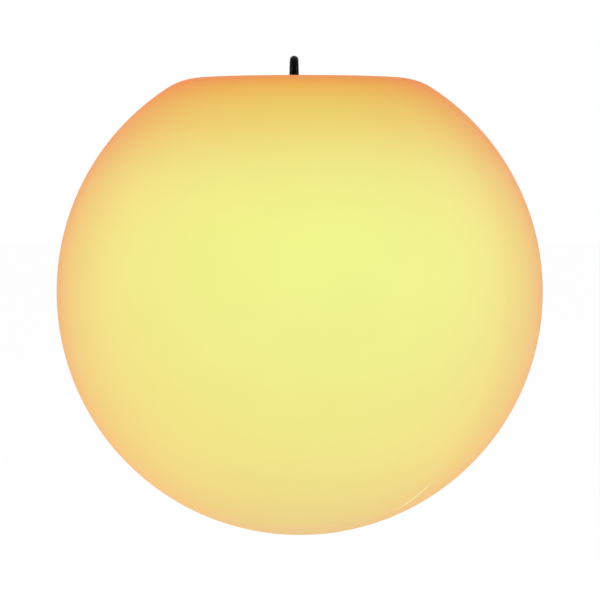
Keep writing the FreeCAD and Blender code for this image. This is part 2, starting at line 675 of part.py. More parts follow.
# ---- Battery ----
def battery_cells():
    """Two cylindrical cells standing side by side."""
    can_top = CELL_HIGH - CELL_NUB
    can = disc(CELL_R, CELL_LOW, can_top)
    ends = [e for e in can.Edges if e.BoundBox.ZLength < 0.01]
    cell = can.makeFillet(0.8, ends).fuse(disc(CELL_NUB_R, can_top - 1.0, CELL_HIGH))
    return group(placed(cell, x, 0, 0) for x in (-CELL_X, CELL_X))


def battery_holder():
    """Open cage: an end plate below and above the cells, joined by four rails."""
    strap_low = CELL_LOW - STRAP
    strap_high = CELL_HIGH + STRAP
    base = rounded_block(HOLDER_X, HOLDER_Y, HOLDER_CORNER, HOLDER_LOW, strap_low)
    top = rounded_block(HOLDER_X, HOLDER_Y, HOLDER_CORNER, strap_high, HOLDER_TOP)
    rails = []
    depth = RAIL_OUT_Y - RAIL_IN_Y
    for x in (-RAIL_CENTRE_X, RAIL_CENTRE_X):
        for y in (-RAIL_IN_Y - depth / 2, RAIL_IN_Y + depth / 2):
            rails.append(block(RAIL_X, depth, HOLDER_LOW + 0.5, HOLDER_TOP - 0.5, x, y))
    return base.fuse([top] + rails).cut(disc(LEAD_HOLE_R, strap_high, HOLDER_TOP))


def battery_straps():
    """Thin welded straps across the ends of the cells."""
    low = block(STRAP_LENGTH, STRAP_WIDTH, CELL_LOW - STRAP, CELL_LOW)
    reach = -RETURN_LEAD_Y + LEAD_R
    tab = block(2 * LEAD_R + 1.0, reach, CELL_LOW - STRAP, CELL_LOW, 0, -reach / 2)
    high = block(STRAP_LENGTH, STRAP_WIDTH, CELL_HIGH, CELL_HIGH + STRAP)
    return group([low.fuse(tab), high])


def battery_leads():
    """Two leads from the straps up to the board, one short and one along the side of the cage."""
    short = disc(LEAD_R, CELL_HIGH + STRAP, BOARD_LOW)
    side = disc(LEAD_R, CELL_LOW, BOARD_LOW, 0, RETURN_LEAD_Y)
    return group([short, side])


def battery_pad():
    """Foam pad between the cage and the board."""
    pad = block(PAD_X, PAD_Y, HOLDER_TOP, BOARD_LOW)
    return pad.cut(disc(LEAD_HOLE_R, HOLDER_TOP, BOARD_LOW))


# ---- Lamp end ----
def heat_spreader():
    """Aluminium cup on the ledge, which takes the lamp's heat to the barrel's wall."""
    plate = disc(SPREADER_R, LEDGE_Z, SPREADER_TOP)
    rim = ring(SPREADER_R - SPREADER_RIM, SPREADER_R, SPREADER_TOP - 1.0, SPREADER_RIM_TOP)
    screw = disc(BOARD_SCREW_R, LEDGE_Z, SPREADER_TOP, LED_SCREW_CIRCLE)
    holes = around(screw, LED_SCREWS, LED_SCREW_ANGLE)
    for x in (-LED_LEAD_X, LED_LEAD_X):
        holes.append(disc(LEAD_HOLE_R, LEDGE_Z, SPREADER_TOP, x, LED_LEAD_Y))
    return plate.fuse(rim).cut(group(holes))


def led_board():
    """Round metal-cored board that carries the lamp's chips, face down."""
    board = disc(LED_BOARD_R, LED_BOARD_LOW, LEDGE_Z)
    screw = disc(BOARD_HOLE_R, LED_BOARD_LOW, LEDGE_Z, LED_SCREW_CIRCLE)
    holes = around(screw, LED_SCREWS, LED_SCREW_ANGLE)
    for x in (-LED_LEAD_X, LED_LEAD_X):
        holes.append(disc(LEAD_R, LED_BOARD_LOW, LEDGE_Z, x, LED_LEAD_Y))
    return board.cut(group(holes))


def led_chips():
    """Light-emitting chips in two rings on the underside of their board."""
    low = LED_BOARD_LOW - LED_HEIGHT
    chips = []
    for count, circle in LED_RINGS:
        chip = block(LED_SIDE, LED_SIDE, low, LED_BOARD_LOW, circle)
        chips += around(chip, count)
    return group(chips)


def led_board_screws():
    """Three screws, from below, that hold the lamp's board to the heat spreader."""
    length = SPREADER_TOP - LED_BOARD_LOW
    screw = upside_down(pan_screw(BOARD_SCREW_R, length, 2.3, 1.4))
    return group(around(placed(screw, LED_SCREW_CIRCLE, 0, LED_BOARD_LOW), LED_SCREWS, LED_SCREW_ANGLE))


def led_leads():
    """Two leads from the control board down to the lamp's board."""
    return group(disc(LEAD_R, LED_LEAD_END_Z, BOARD_LOW, x, LED_LEAD_Y) for x in (-LED_LEAD_X, LED_LEAD_X))


def lamp_lens():
    """Frosted dome over the chips, with a flat flange."""
    inner = LENS_R - LENS_WALL
    low = LENS_Z - LENS_FLANGE
    flange_angle = -math.degrees(math.asin(LENS_FLANGE / LENS_R))
    flange_root = LENS_R * math.cos(math.radians(flange_angle))
    return revolved([
        arc((0, LENS_Z), LENS_R, -90, flange_angle),
        line((flange_root, low), (LENS_FLANGE_R, low)),
        line((LENS_FLANGE_R, low), (LENS_FLANGE_R, LENS_Z)),
        line((LENS_FLANGE_R, LENS_Z), (inner, LENS_Z)),
        arc((0, LENS_Z), inner, 0, -90),
        line((0, LENS_Z - inner), (0, LENS_Z - LENS_R)),
    ])


def lens_seal():
    """Soft ring between the lens flange and the end of the barrel."""
    return ring(LENS_SEAL_IN_R, LENS_FLANGE_R - 0.2, LENS_Z, BARREL_END_Z)


def lens_ring():
    """Retaining ring that holds the lens on the barrel's end, notched for grip."""
    lip_top = LENS_Z - LENS_FLANGE
    low = lip_top - LENS_RING_LIP
    edge = 0.6
    body = lathed([
        (LENS_RING_LIP_R, low), (BARREL_R - edge, low), (BARREL_R, low + edge), (BARREL_R, BARREL_NECK_Z),
        (BARREL_NECK_R, BARREL_NECK_Z), (BARREL_NECK_R, lip_top), (LENS_RING_LIP_R, lip_top),
    ])
    notch = disc(LENS_RING_NOTCH_R, low - 1.0, BARREL_NECK_Z - 2.0, LENS_RING_NOTCH_CIRCLE)
    return body.cut(group(around(notch, LENS_RING_NOTCHES)))


NODES = (
    globe_shell, well_cup, neck_inserts, neck_ring, neck_ring_screws, neck_gasket,
    unit_barrel, unit_cover, cover_seal, cover_screws, hanging_bail, bail_pivot_pins,
    mode_button, button_boot, button_switch,
    port_cover, port_cover_pin, port_plug, charge_socket, indicator_window,
    control_board, board_components, board_screws,
    battery_cells, battery_holder, battery_straps, battery_leads, battery_pad,
    heat_spreader, led_board, led_chips, led_board_screws, led_leads,
    lamp_lens, lens_seal, lens_ring,
)


def main():
    """Build each piece, move it to the part's frame and write its file."""
    os.makedirs("parts", exist_ok=True)
    to_frame = Vec(-BAIL_X, 0, -HANG_Z)
    for build in NODES:
        shape = build()
        shape.translate(to_frame)
        shape.exportStep("parts/" + build.__name__ + ".step")
        print(build.__name__, len(shape.Solids), shape.isValid(), round(shape.Volume / 1000, 3))


main()
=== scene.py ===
"""Looks of a hanging garden globe light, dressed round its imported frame.

A lit ball with a flat top hangs from a small black bail. A twist-in light unit sits in the ball's well.
Sizes in the classes are millimetres about the ball's own centre, with +Z up, as on a maker's drawing. The
workbench moves each finished mesh to its place in the frame, which is in metres.
"""

from __future__ import annotations

import json
import logging
import math
from dataclasses import dataclass, replace
from enum import Enum
from typing import Sequence

import bmesh
import bpy
from mathutils import Matrix, Vector

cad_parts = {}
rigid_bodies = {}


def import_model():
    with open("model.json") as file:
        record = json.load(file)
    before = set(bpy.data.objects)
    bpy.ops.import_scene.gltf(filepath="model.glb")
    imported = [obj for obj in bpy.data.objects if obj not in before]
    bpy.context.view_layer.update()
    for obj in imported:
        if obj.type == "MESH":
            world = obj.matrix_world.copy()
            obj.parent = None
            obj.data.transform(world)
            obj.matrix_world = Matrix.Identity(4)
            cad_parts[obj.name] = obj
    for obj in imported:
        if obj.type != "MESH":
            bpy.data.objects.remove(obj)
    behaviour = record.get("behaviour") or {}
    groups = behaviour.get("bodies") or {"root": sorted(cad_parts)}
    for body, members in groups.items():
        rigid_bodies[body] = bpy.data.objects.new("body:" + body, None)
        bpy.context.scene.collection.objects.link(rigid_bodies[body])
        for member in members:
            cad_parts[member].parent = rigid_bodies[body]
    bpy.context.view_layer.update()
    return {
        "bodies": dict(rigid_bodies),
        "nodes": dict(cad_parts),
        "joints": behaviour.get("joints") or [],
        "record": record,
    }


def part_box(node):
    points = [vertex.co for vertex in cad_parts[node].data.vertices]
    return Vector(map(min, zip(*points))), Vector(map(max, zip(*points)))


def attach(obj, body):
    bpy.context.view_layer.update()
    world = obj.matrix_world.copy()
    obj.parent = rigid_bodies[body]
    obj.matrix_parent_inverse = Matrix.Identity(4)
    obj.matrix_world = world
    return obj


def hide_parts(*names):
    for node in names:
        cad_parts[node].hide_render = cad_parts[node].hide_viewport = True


Colour = tuple[float, float, float]
Point = tuple[float, float]
Socket = bpy.types.NodeSocket
Mesh = bpy.types.Mesh
Material = bpy.types.Material
Levels = tuple[tuple[float, Colour], ...]
Spread = tuple[int, float, float]

MM = 0.001
FULL_TURN = 2.0 * math.pi
SAME_PLACE = 1e-5
SHARP = 32.0
SEAM_AZIMUTH = -36.2
COVER_TOP = 145.5
FLANGE_TOP = 137.5
LOG = logging.getLogger("globe_light")


class Body(Enum):
    """The bodies that pieces ride on."""

    GLOBE = "globe"
    UNIT = "light_unit"
    BAIL = "bail"
    BUTTON = "button"
    FLAP = "port_flap"


class Pattern(Enum):
    """The fine surface of a finish."""

    PLAIN = "plain"
    SPARK = "spark-eroded grain"
    BRUSHED = "turned or brushed lines"
    CELLS = "open cells"
    TRACKS = "copper tracks under lacquer"


# ---- Node trees ----
class TreeSketch:
    """A node tree that is drawn by adding nodes and feeding their sockets."""

    def __init__(self, tree: bpy.types.NodeTree) -> None:
        """Starts on an empty tree, or on one that holds only its output."""
        self.tree = tree

    def node(self, kind: str, inputs: dict | None = None, **options: object) -> bpy.types.Node:
        """Adds a node.

        Args:
            kind: the node's type name.
            inputs: for input sockets, by name or number, a plain value or another node's output.
            options: the node's own settings.

        Returns:
            The new node.
        """
        made = self.tree.nodes.new(kind)
        for option, value in options.items():
            setattr(made, option, value)
        for socket, value in (inputs or {}).items():
            self.feed(made.inputs[socket], value)
        return made

    def feed(self, socket: Socket, value: object) -> None:
        """Gives an input socket a plain value, or links another node's output to it."""
        if isinstance(value, bpy.types.NodeSocket):
            self.tree.links.new(value, socket)
        else:
            socket.default_value = value

    def maths(self, operation: str, first: object, second: object = 0.0) -> Socket:
        """Adds one sum on two numbers and returns its result."""
        return self.node("ShaderNodeMath", {0: first, 1: second}, operation=operation).outputs[0]

    def between(self, value: Socket, low: Point, high: Point) -> Socket:
        """Maps a range of a value to another range.

        Args:
            value: the socket to map.
            low: where the range starts, and what that becomes.
            high: where the range ends, and what that becomes.

        Returns:
            The mapped value, held within its range.
        """
        inputs = {0: value, 1: low[0], 2: high[0], 3: low[1], 4: high[1]}
        return self.node("ShaderNodeMapRange", inputs).outputs[0]

    def seen(self, *rays: str) -> Socket:
        """Returns 1 for a ray of one of the named kinds, and 0 for any other."""
        kinds = self.node("ShaderNodeLightPath").outputs
        share = kinds[rays[0]]
        for ray in rays[1:]:
            share = self.maths("MAXIMUM", share, kinds[ray])
        return share


class ShaderSketch(TreeSketch):
    """A material's tree, drawn round its one surface shader."""

    def __init__(self, name: str) -> None:
        """Makes the material and finds its surface shader."""
        self.material = bpy.data.materials.new(name)
        self.material.use_nodes = True
        super().__init__(self.material.node_tree)
        self.surface = self.tree.nodes["Principled BSDF"]

    def set(self, **values: object) -> None:
        """Sets sockets of the surface shader, named with underscores for spaces."""
        for socket, value in values.items():
            self.feed(self.surface.inputs[socket.replace("_", " ")], value)

    def place(self, centre: Vector, unit: float) -> Socket:
        """Adds object coordinates about a centre.

        Args:
            centre: the point that becomes the pattern's origin, in metres.
            unit: the length that becomes 1, in metres.

        Returns:
            The coordinates.
        """
        scale = Vector((1.0 / unit, 1.0 / unit, 1.0 / unit))
        shift = Vector(-middle * size for middle, size in zip(centre, scale))
        source = self.node("ShaderNodeTexCoord").outputs["Object"]
        inputs = {"Vector": source, "Location": shift, "Scale": scale}
        return self.node("ShaderNodeMapping", inputs).outputs["Vector"]

    def noise(self, place: Socket, scale: float, detail: float = 2.0) -> Socket:
        """Adds soft noise and returns its value, from 0 to 1."""
        inputs = {"Vector": place, "Scale": scale, "Detail": detail}
        return self.node("ShaderNodeTexNoise", inputs).outputs["Fac"]

    def ramp(self, value: Socket, stops: Levels) -> Socket:
        """Adds a smooth run of colours.

        Args:
            value: where along the run to read.
            stops: places along the run, from 0 to 1, with their colours.

        Returns:
            The colour there.
        """
        made = self.node("ShaderNodeValToRGB", {"Fac": value})
        made.color_ramp.interpolation = "CARDINAL"
        elements = made.color_ramp.elements
        while len(elements) < len(stops):
            elements.new(1.0)
        for element, (position, _) in zip(elements, stops):
            element.position = position
        for element, (_, colour) in zip(elements, stops):
            element.color = (*colour, 1.0)
        return made.outputs["Color"]

    def scaled(self, colour: object, amount: object) -> Socket:
        """Makes a colour lighter or darker by a factor and returns it."""
        inputs = {0: colour, "Scale": amount}
        return self.node("ShaderNodeVectorMath", inputs, operation="SCALE").outputs[0]

    def tinted(self, colour: Socket, tint: Socket) -> Socket:
        """Multiplies one colour by another and returns the product."""
        return self.node("ShaderNodeVectorMath", {0: colour, 1: tint}, operation="MULTIPLY").outputs[0]

    def mixed(self, share: object, first: Colour, second: Colour) -> Socket:
        """Mixes two colours by a share from 0 to 1 and returns the result."""
        inputs = {0: share, 6: (*first, 1.0), 7: (*second, 1.0)}
        return self.node("ShaderNodeMix", inputs, data_type="RGBA").outputs[2]

    def bump(self, height: Socket, depth_mm: float) -> None:
        """Raises the surface's shading by a height from 0 to 1, up to a depth in millimetres."""
        inputs = {"Height": height, "Distance": depth_mm * MM, "Strength": 1.0}
        self.set(Normal=self.node("ShaderNodeBump", inputs).outputs["Normal"])


def ball_place() -> tuple[Vector, float]:
    """Returns the ball's centre and radius in the frame, in metres."""
    low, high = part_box("globe_shell")
    radius = (high.x - low.x) / 2.0
    return Vector(((low.x + high.x) / 2.0, (low.y + high.y) / 2.0, low.z + radius)), radius


@dataclass(frozen=True)
class Surface:
    """What a piece is made of: the material's name, and the slot of the record that it belongs to."""

    name: str
    slot: str

    def material(self) -> Material:
        """Returns this finish as a material, drawn once."""
        return bpy.data.materials.get(self.name) or self.drawn()

    def drawn(self) -> Material:
        """Draws the material's tree and returns the material."""
        raise NotImplementedError


@dataclass(frozen=True)
class Finish(Surface):
    """An opaque moulded, rubber or metal surface with its own fine texture."""

    colour: Colour
    roughness: float = 0.45
    metallic: float = 0.0
    specular: float = 0.5
    pattern: Pattern = Pattern.SPARK
    grain_mm: float = 0.35
    depth_mm: float = 0.012
    variation: float = 0.12
    second: Colour = (0.0, 0.0, 0.0)
    glow: Colour = (0.0, 0.0, 0.0)
    coat: float = 0.0

    def drawn(self) -> Material:
        """Draws the material's tree and returns the material."""
        sketch = ShaderSketch(self.name)
        place = sketch.place(Vector(), MM)
        height, share = self.texture(sketch, place)
        clouds = sketch.noise(place, 0.06, 3.0)
        lightness = sketch.between(clouds, (0.3, 1.0 - self.variation), (0.7, 1.0 + self.variation))
        mixed = sketch.mixed(share, self.colour, self.second)
        rough = sketch.between(clouds, (0.3, self.roughness * 0.88), (0.7, self.roughness * 1.12))
        sketch.set(Base_Color=sketch.scaled(mixed, lightness), Roughness=rough)
        sketch.set(Metallic=self.metallic, Specular_IOR_Level=self.specular)
        if self.coat:
            sketch.set(Coat_Weight=self.coat, Coat_Roughness=0.08)
        if any(self.glow):
            sketch.set(Emission_Color=(*self.glow, 1.0), Emission_Strength=1.0)
        sketch.bump(height, self.depth_mm)
        return sketch.material

    def texture(self, sketch: ShaderSketch, place: Socket) -> tuple[Socket, object]:
        """Draws the fine texture.

        Args:
            sketch: the tree to draw in.
            place: object coordinates in millimetres.

        Returns:
            The texture's height from 0 to 1, and how far the second colour shows.
        """
        inputs = {"Vector": place, "Scale": 1.0 / self.grain_mm}
        if self.pattern is Pattern.BRUSHED:
            inputs["Distortion"] = 0.4
            return sketch.node("ShaderNodeTexWave", inputs, wave_type="RINGS").outputs["Fac"], 0.0
        if self.pattern is Pattern.CELLS:
            pores = sketch.node("ShaderNodeTexVoronoi", inputs).outputs["Distance"]
            return pores, sketch.between(pores, (0.0, 0.8), (0.5, 0.0))
        if self.pattern is Pattern.TRACKS:
            inputs["Mortar Size"] = 0.12
            tracks = sketch.node("ShaderNodeTexBrick", inputs).outputs["Fac"]
            return tracks, tracks
        if self.pattern is Pattern.PLAIN:
            return sketch.noise(place, 0.5 / self.grain_mm, 1.0), 0.0
        fine = sketch.noise(place, 1.0 / self.grain_mm)
        return sketch.between(fine, (0.35, 0.0), (0.65, 1.0)), 0.0


@dataclass(frozen=True)
class ClearFinish(Surface):
    """Clear or frosted polycarbonate that passes light."""

    colour: Colour
    roughness: float
    frost_mm: float = 0.2

    def drawn(self) -> Material:
        """Draws the material's tree and returns the material."""
        sketch = ShaderSketch(self.name)
        place = sketch.place(Vector(), MM)
        frost = sketch.noise(place, 1.0 / self.frost_mm)
        clouds = sketch.between(sketch.noise(place, 0.1), (0.3, 0.94), (0.7, 1.0))
        colour = sketch.scaled(self.colour, clouds)
        sketch.set(Base_Color=colour, Roughness=self.roughness, Transmission_Weight=0.9, IOR=1.58)
        sketch.bump(frost, 0.01)
        return sketch.material


@dataclass(frozen=True)
class LitSkin(Surface):
    """Translucent wall of the ball, glowing from the lamp inside, with light and shade painted into its
    glow:
    lemon at mid height, painted shade deepening to amber towards the flat top.

    Glow colours and tints are given by height, from -1 at the ball's foot to 1. The wall sends out most of
    its painted glow and reflects a little. Near the ball's edge a soft orange haze lies over it, and the
    light that leaves there has crossed more of the wall, which the coat's tint by height stands for.
    """

    shades: Levels
    # Painted light: the glow is brighter towards +X and darker towards -X.
    drift: Colour = (0.006, 0.038, 0.080)
    second_half: Colour = (0.997, 0.960, 0.970)
    seam_azimuth: float = SEAM_AZIMUTH
    seam_blur: float = 0.02
    gloss: float = 0.03
    glow_share: float = 0.95
    base_share: float = 0.285
    # Coat tints by height: the wall's own tint, deeper towards the top as painted shade at the ball's edge
    # there.
    wall_tints: Levels = (
        (-1.00, (0.985, 1.000, 1.000)), (-0.60, (0.985, 0.970, 1.000)), (-0.20, (0.985, 0.930, 1.000)),
        (0.20, (0.985, 0.895, 0.960)), (0.50, (0.985, 0.870, 0.910)), (0.85, (0.985, 0.860, 0.880)),
    )
    haze_weight: float = 1.0
    haze_tint: Colour = (0.84, 0.22, 0.12)
    haze_roughness: float = 0.75
    mottling: float = 0.010

    def drawn(self) -> Material:
        """Draws the lit wall's tree and returns the material."""
        sketch = ShaderSketch(self.name)
        place = sketch.place(*ball_place())
        axes = sketch.node("ShaderNodeSeparateXYZ", {0: place}).outputs
        height = sketch.between(axes["Z"], (-1.0, 0.0), (1.0, 1.0))
        # The painted glow by height, brighter towards +X as painted light, and a step deeper on the mould's
        # second half.
        inputs = {0: axes["X"], 1: self.drift, 2: (1.0, 1.0, 1.0)}
        drift = sketch.node("ShaderNodeVectorMath", inputs, operation="MULTIPLY_ADD").outputs[0]
        shade = sketch.tinted(sketch.ramp(height, self.stops(self.shades)), drift)
        shade = sketch.tinted(shade, self.halves(sketch, axes))
        blotches = sketch.noise(place, 3.2, 3.0)
        lightness = sketch.between(blotches, (0.3, 1.0 - self.mottling), (0.7, 1.0 + self.mottling))
        shade = sketch.scaled(shade, lightness)
        # The painted glow goes out as emission, and a little of it stands as base colour.
        sketch.set(
            Base_Color=sketch.scaled(shade, self.base_share),
            Emission_Color=sketch.scaled(shade, self.glow_share),
            Emission_Strength=1.0,
            Roughness=sketch.between(blotches, (0.3, 0.46), (0.7, 0.54)),
            Specular_IOR_Level=self.gloss,
            Coat_Weight=1.0,
            Coat_IOR=1.03,
            Coat_Roughness=0.5,
            Coat_Tint=sketch.ramp(height, self.stops(self.wall_tints)),
            Sheen_Weight=self.haze_weight,
            Sheen_Roughness=self.haze_roughness,
            Sheen_Tint=(*self.haze_tint, 1.0),
        )
        sketch.bump(sketch.noise(place, 260.0), 0.02)
        return sketch.material

    def stops(self, levels: Levels) -> Levels:
        """Returns colours given by height, from -1 to 1, as a run from 0 to 1."""
        return tuple(((level + 1.0) / 2.0, colour) for level, colour in levels)

    def halves(self, sketch: ShaderSketch, axes: bpy.types.bpy_prop_collection) -> Socket:
        """Tells the mould's two halves apart: the painted glow on the second half is a step deeper in
        colour.

        Args:
            sketch: the tree to draw in.
            axes: the separate coordinates about the ball's centre.

        Returns:
            The colour to multiply by.
        """
        turn = math.radians(self.seam_azimuth)
        across = sketch.maths("MULTIPLY", axes["Y"], math.cos(turn))
        across = sketch.maths("ADD", across, sketch.maths("MULTIPLY", axes["X"], -math.sin(turn)))
        share = sketch.between(across, (-self.seam_blur, 0.0), (self.seam_blur, 1.0))
        return sketch.mixed(share, (1.0, 1.0, 1.0), self.second_half)


# ---- Finishes of this light ----
# The ball's glow by height, with its light and shade painted in: lemon round the middle, dimmer and amber
# from 0.65 up as painted shade under the flat top, where the light unit shades the wall.
BALL_SKIN = LitSkin(
    "lit_ball_skin",
    "globe_skin",
    shades=(
        (-1.00, (0.759, 0.807, 0.318)), (-0.87, (0.750, 0.786, 0.262)), (-0.60, (0.736, 0.802, 0.235)),
        (-0.25, (0.722, 0.848, 0.236)), (0.19, (0.712, 0.914, 0.239)), (0.38, (0.719, 0.917, 0.243)),
        (0.515, (0.702, 0.882, 0.235)), (0.65, (0.696, 0.794, 0.188)), (0.78, (0.667, 0.696, 0.121)),
        (0.84, (0.669, 0.567, 0.076)), (0.88, (0.608, 0.486, 0.050)), (1.00, (0.608, 0.486, 0.050)),
    ),
)
# The parting line's bead: the ball's glow, with a painted cream glint on the bead from -0.865 to -0.77, low
# down.
GLINT_SEAM_SKIN = replace(
    BALL_SKIN,
    name="lit_seam_skin_painted_glint",
    shades=(
        BALL_SKIN.shades[0], (-0.89, (0.751, 0.789, 0.270)), (-0.865, (0.856, 0.873, 0.414)),
        (-0.77, (0.850, 0.859, 0.414)), (-0.74, (0.743, 0.794, 0.249)), *BALL_SKIN.shades[2:],
    ),
)
# The well's wall: the glow dimmed to dark amber as painted shade, where the neck ring and the light unit
# keep the inner light off; lighter towards the lip.
SHADED_WELL_SKIN = LitSkin(
    "lit_well_skin_painted_shade",
    "globe_skin",
    shades=(
        (0.60, (0.434, 0.249, 0.048)), (0.76, (0.434, 0.246, 0.050)), (0.80, (0.488, 0.288, 0.054)),
        (0.86, (0.604, 0.398, 0.054)), (0.88, (0.595, 0.415, 0.040)),
    ),
    drift=(0.0, 0.0, 0.0),
    second_half=(1.0, 1.0, 1.0),
)
SOCKET_BLACK = Finish("socket_polypropylene", "socket_black", (0.030, 0.030, 0.032), roughness=0.52)
HOUSING_BLACK = Finish("housing_plastic", "housing_black", (0.035, 0.035, 0.037), roughness=0.42)
COVER_BLACK = Finish("cover_spark_grain", "cover_black", (0.028, 0.028, 0.030), roughness=0.48)
FLAP_BLACK = Finish("flap_spark_grain", "flap_black", (0.030, 0.030, 0.032), roughness=0.44)
BAIL_BLACK = Finish(
    "bail_gloss_nylon", "bail_black", (0.003, 0.003, 0.0034), roughness=0.22, specular=0.012,
    pattern=Pattern.PLAIN, grain_mm=0.9, depth_mm=0.004, variation=0.2,
)
MARK_GREY = Finish("printed_mark_grey", "cover_black", (0.42, 0.42, 0.43), roughness=0.6)
BUTTON_RUBBER = Finish("button_silicone", "button_rubber", (0.045, 0.045, 0.047), roughness=0.62)
SEAL_RUBBER = Finish("seal_silicone", "seal_rubber", (0.06, 0.06, 0.06), roughness=0.7, grain_mm=0.5)
STEEL = Finish(
    "turned_stainless", "steel", (0.62, 0.62, 0.63), roughness=0.28, metallic=1.0,
    pattern=Pattern.BRUSHED, grain_mm=0.12, depth_mm=0.003, variation=0.05,
)
BRASS = Finish(
    "knurled_brass", "brass", (0.74, 0.55, 0.24), roughness=0.35, metallic=1.0,
    pattern=Pattern.BRUSHED, grain_mm=0.4, depth_mm=0.03, variation=0.06,
)
PLATED = Finish(
    "nickel_plate", "plated_metal", (0.70, 0.69, 0.66), roughness=0.22, metallic=1.0,
    pattern=Pattern.BRUSHED, grain_mm=0.2, depth_mm=0.002, variation=0.05,
)
ALUMINIUM = Finish(
    "pressed_aluminium", "bare_aluminium", (0.78, 0.78, 0.79), roughness=0.38, metallic=1.0,
    pattern=Pattern.BRUSHED, grain_mm=0.5, depth_mm=0.004, variation=0.06,
)
CLEAR_PIPE = ClearFinish("clear_light_pipe", "clear_pipe", (0.90, 0.93, 0.95), roughness=0.08)
FROSTED_LENS = ClearFinish("frosted_dome", "frosted_lens", (0.96, 0.95, 0.90), roughness=0.55)
BOARD_GREEN = Finish(
    "lacquered_laminate", "board_green", (0.035, 0.190, 0.080), roughness=0.3,
    pattern=Pattern.TRACKS, grain_mm=7.0, depth_mm=0.03, second=(0.060, 0.270, 0.110),
)
BOARD_WHITE = Finish(
    "white_solder_mask", "board_white", (0.86, 0.86, 0.84), roughness=0.4,
    pattern=Pattern.TRACKS, grain_mm=8.0, depth_mm=0.03, variation=0.03, second=(0.80, 0.80, 0.77),
)
COMPONENT_BLACK = Finish("moulded_epoxy", "component_black", (0.045, 0.045, 0.047), roughness=0.5)
PHOSPHOR = Finish(
    "phosphor_resin", "chip_yellow", (0.90, 0.76, 0.24), roughness=0.3, pattern=Pattern.PLAIN,
    glow=(0.9, 0.8, 0.45), variation=0.04,
)
CELL_SLEEVE = Finish(
    "shrink_sleeve", "cell_sleeve", (0.08, 0.22, 0.52), roughness=0.25, pattern=Pattern.PLAIN,
    grain_mm=2.0, depth_mm=0.03, coat=0.4,
)
LEAD_RED = Finish("lead_insulation", "lead_red", (0.55, 0.05, 0.04), roughness=0.4, pattern=Pattern.PLAIN)
FOAM_GREY = Finish(
    "closed_cell_foam", "foam_grey", (0.30, 0.30, 0.30), roughness=0.9,
    pattern=Pattern.CELLS, grain_mm=0.6, depth_mm=0.15, second=(0.18, 0.18, 0.18),
)


# ---- Meshes ----
def arc(centre: Point, radius: float, start: float, end: float, steps: int) -> list[Point]:
    """Points along a round edge.

    Args:
        centre: the arc's centre, as radius and height, or as x and y.
        radius: the arc's radius.
        start: its first angle, in degrees.
        end: its last angle, in degrees.
        steps: how many straight steps stand for it.

    Returns:
        Its points, both ends included.
    """
    angles = [math.radians(start + (end - start) * step / steps) for step in range(steps + 1)]
    return [(centre[0] + radius * math.cos(a), centre[1] + radius * math.sin(a)) for a in angles]


def mesh_of(name: str, sketch: bmesh.types.BMesh) -> Mesh:
    """Turns a finished sketch into a mesh with its faces outwards.

    Args:
        name: the mesh's name.
        sketch: the closed shape, which is freed.

    Returns:
        The mesh.
    """
    bmesh.ops.remove_doubles(sketch, verts=sketch.verts, dist=SAME_PLACE)
    bmesh.ops.recalc_face_normals(sketch, faces=sketch.faces)
    mesh = bpy.data.meshes.new(name)
    sketch.to_mesh(mesh)
    sketch.free()
    return mesh


def lathed(name: str, section: Sequence[Point], steps: int, looped: bool) -> Mesh:
    """Turns a half section about the vertical axis.

    Args:
        name: the mesh's name.
        section: its corners, as radius and height.
        steps: how many faces go round.
        looped: whether the last corner joins the first. If not, both lie on the axis.

    Returns:
        The closed mesh.
    """
    sketch = bmesh.new()
    hoops = []
    for radius, height in section:
        spokes = steps if radius > 1e-6 else 1
        turns = [FULL_TURN * spoke / steps for spoke in range(spokes)]
        places = [(radius * math.cos(turn), radius * math.sin(turn), height) for turn in turns]
        hoops.append([sketch.verts.new(place) for place in places])
    pairs = list(zip(hoops, hoops[1:]))
    if looped:
        pairs.append((hoops[-1], hoops[0]))
    for low, high in pairs:
        for spoke in range(steps):
            following = (spoke + 1) % steps
            corners = [low[spoke % len(low)], low[following % len(low)]]
            corners += [high[following % len(high)], high[spoke % len(high)]]
            sketch.faces.new(list(dict.fromkeys(corners)))
    return mesh_of(name, sketch)


def plate(name: str, outline: Sequence[Point], low: float, high: float) -> Mesh:
    """Raises an outline in the level plane to a closed plate.

    Args:
        name: the mesh's name.
        outline: its corners, as x and y.
        low: the plate's underside.
        high: the plate's top.

    Returns:
        The mesh.
    """
    sketch = bmesh.new()
    corners = [sketch.verts.new((x, y, low)) for x, y in outline]
    copied = bmesh.ops.extrude_face_region(sketch, geom=[sketch.faces.new(corners)])["geom"]
    tops = [part for part in copied if isinstance(part, bmesh.types.BMVert)]
    bmesh.ops.translate(sketch, verts=tops, vec=(0, 0, high - low))
    return mesh_of(name, sketch)


def lofted(name: str, sections: Sequence[Sequence[Vector]]) -> Mesh:
    """Joins closed sections with equal numbers of points, and closes both ends to a point.

    Args:
        name: the mesh's name.
        sections: the sections in order, each a round of places.

    Returns:
        The closed mesh.
    """
    sketch = bmesh.new()
    hoops = [[sketch.verts.new(place) for place in section] for section in sections]
    count = len(hoops[0])
    for low, high in zip(hoops, hoops[1:]):
        for step in range(count):
            following = (step + 1) % count
            sketch.faces.new((low[step], low[following], high[following], high[step]))
    for hoop in (hoops[0], hoops[-1]):
        middle = sum((vertex.co for vertex in hoop), Vector()) / count
        tip = sketch.verts.new(middle)
        for step in range(count):
            sketch.faces.new((hoop[step], hoop[(step + 1) % count], tip))
    return mesh_of(name, sketch)


def added(name: str, data: bpy.types.ID) -> bpy.types.Object:
    """Makes an object of a mesh, lamp or camera and puts it in the scene."""
    made = bpy.data.objects.new(name, data)
    bpy.context.scene.collection.objects.link(made)
    return made


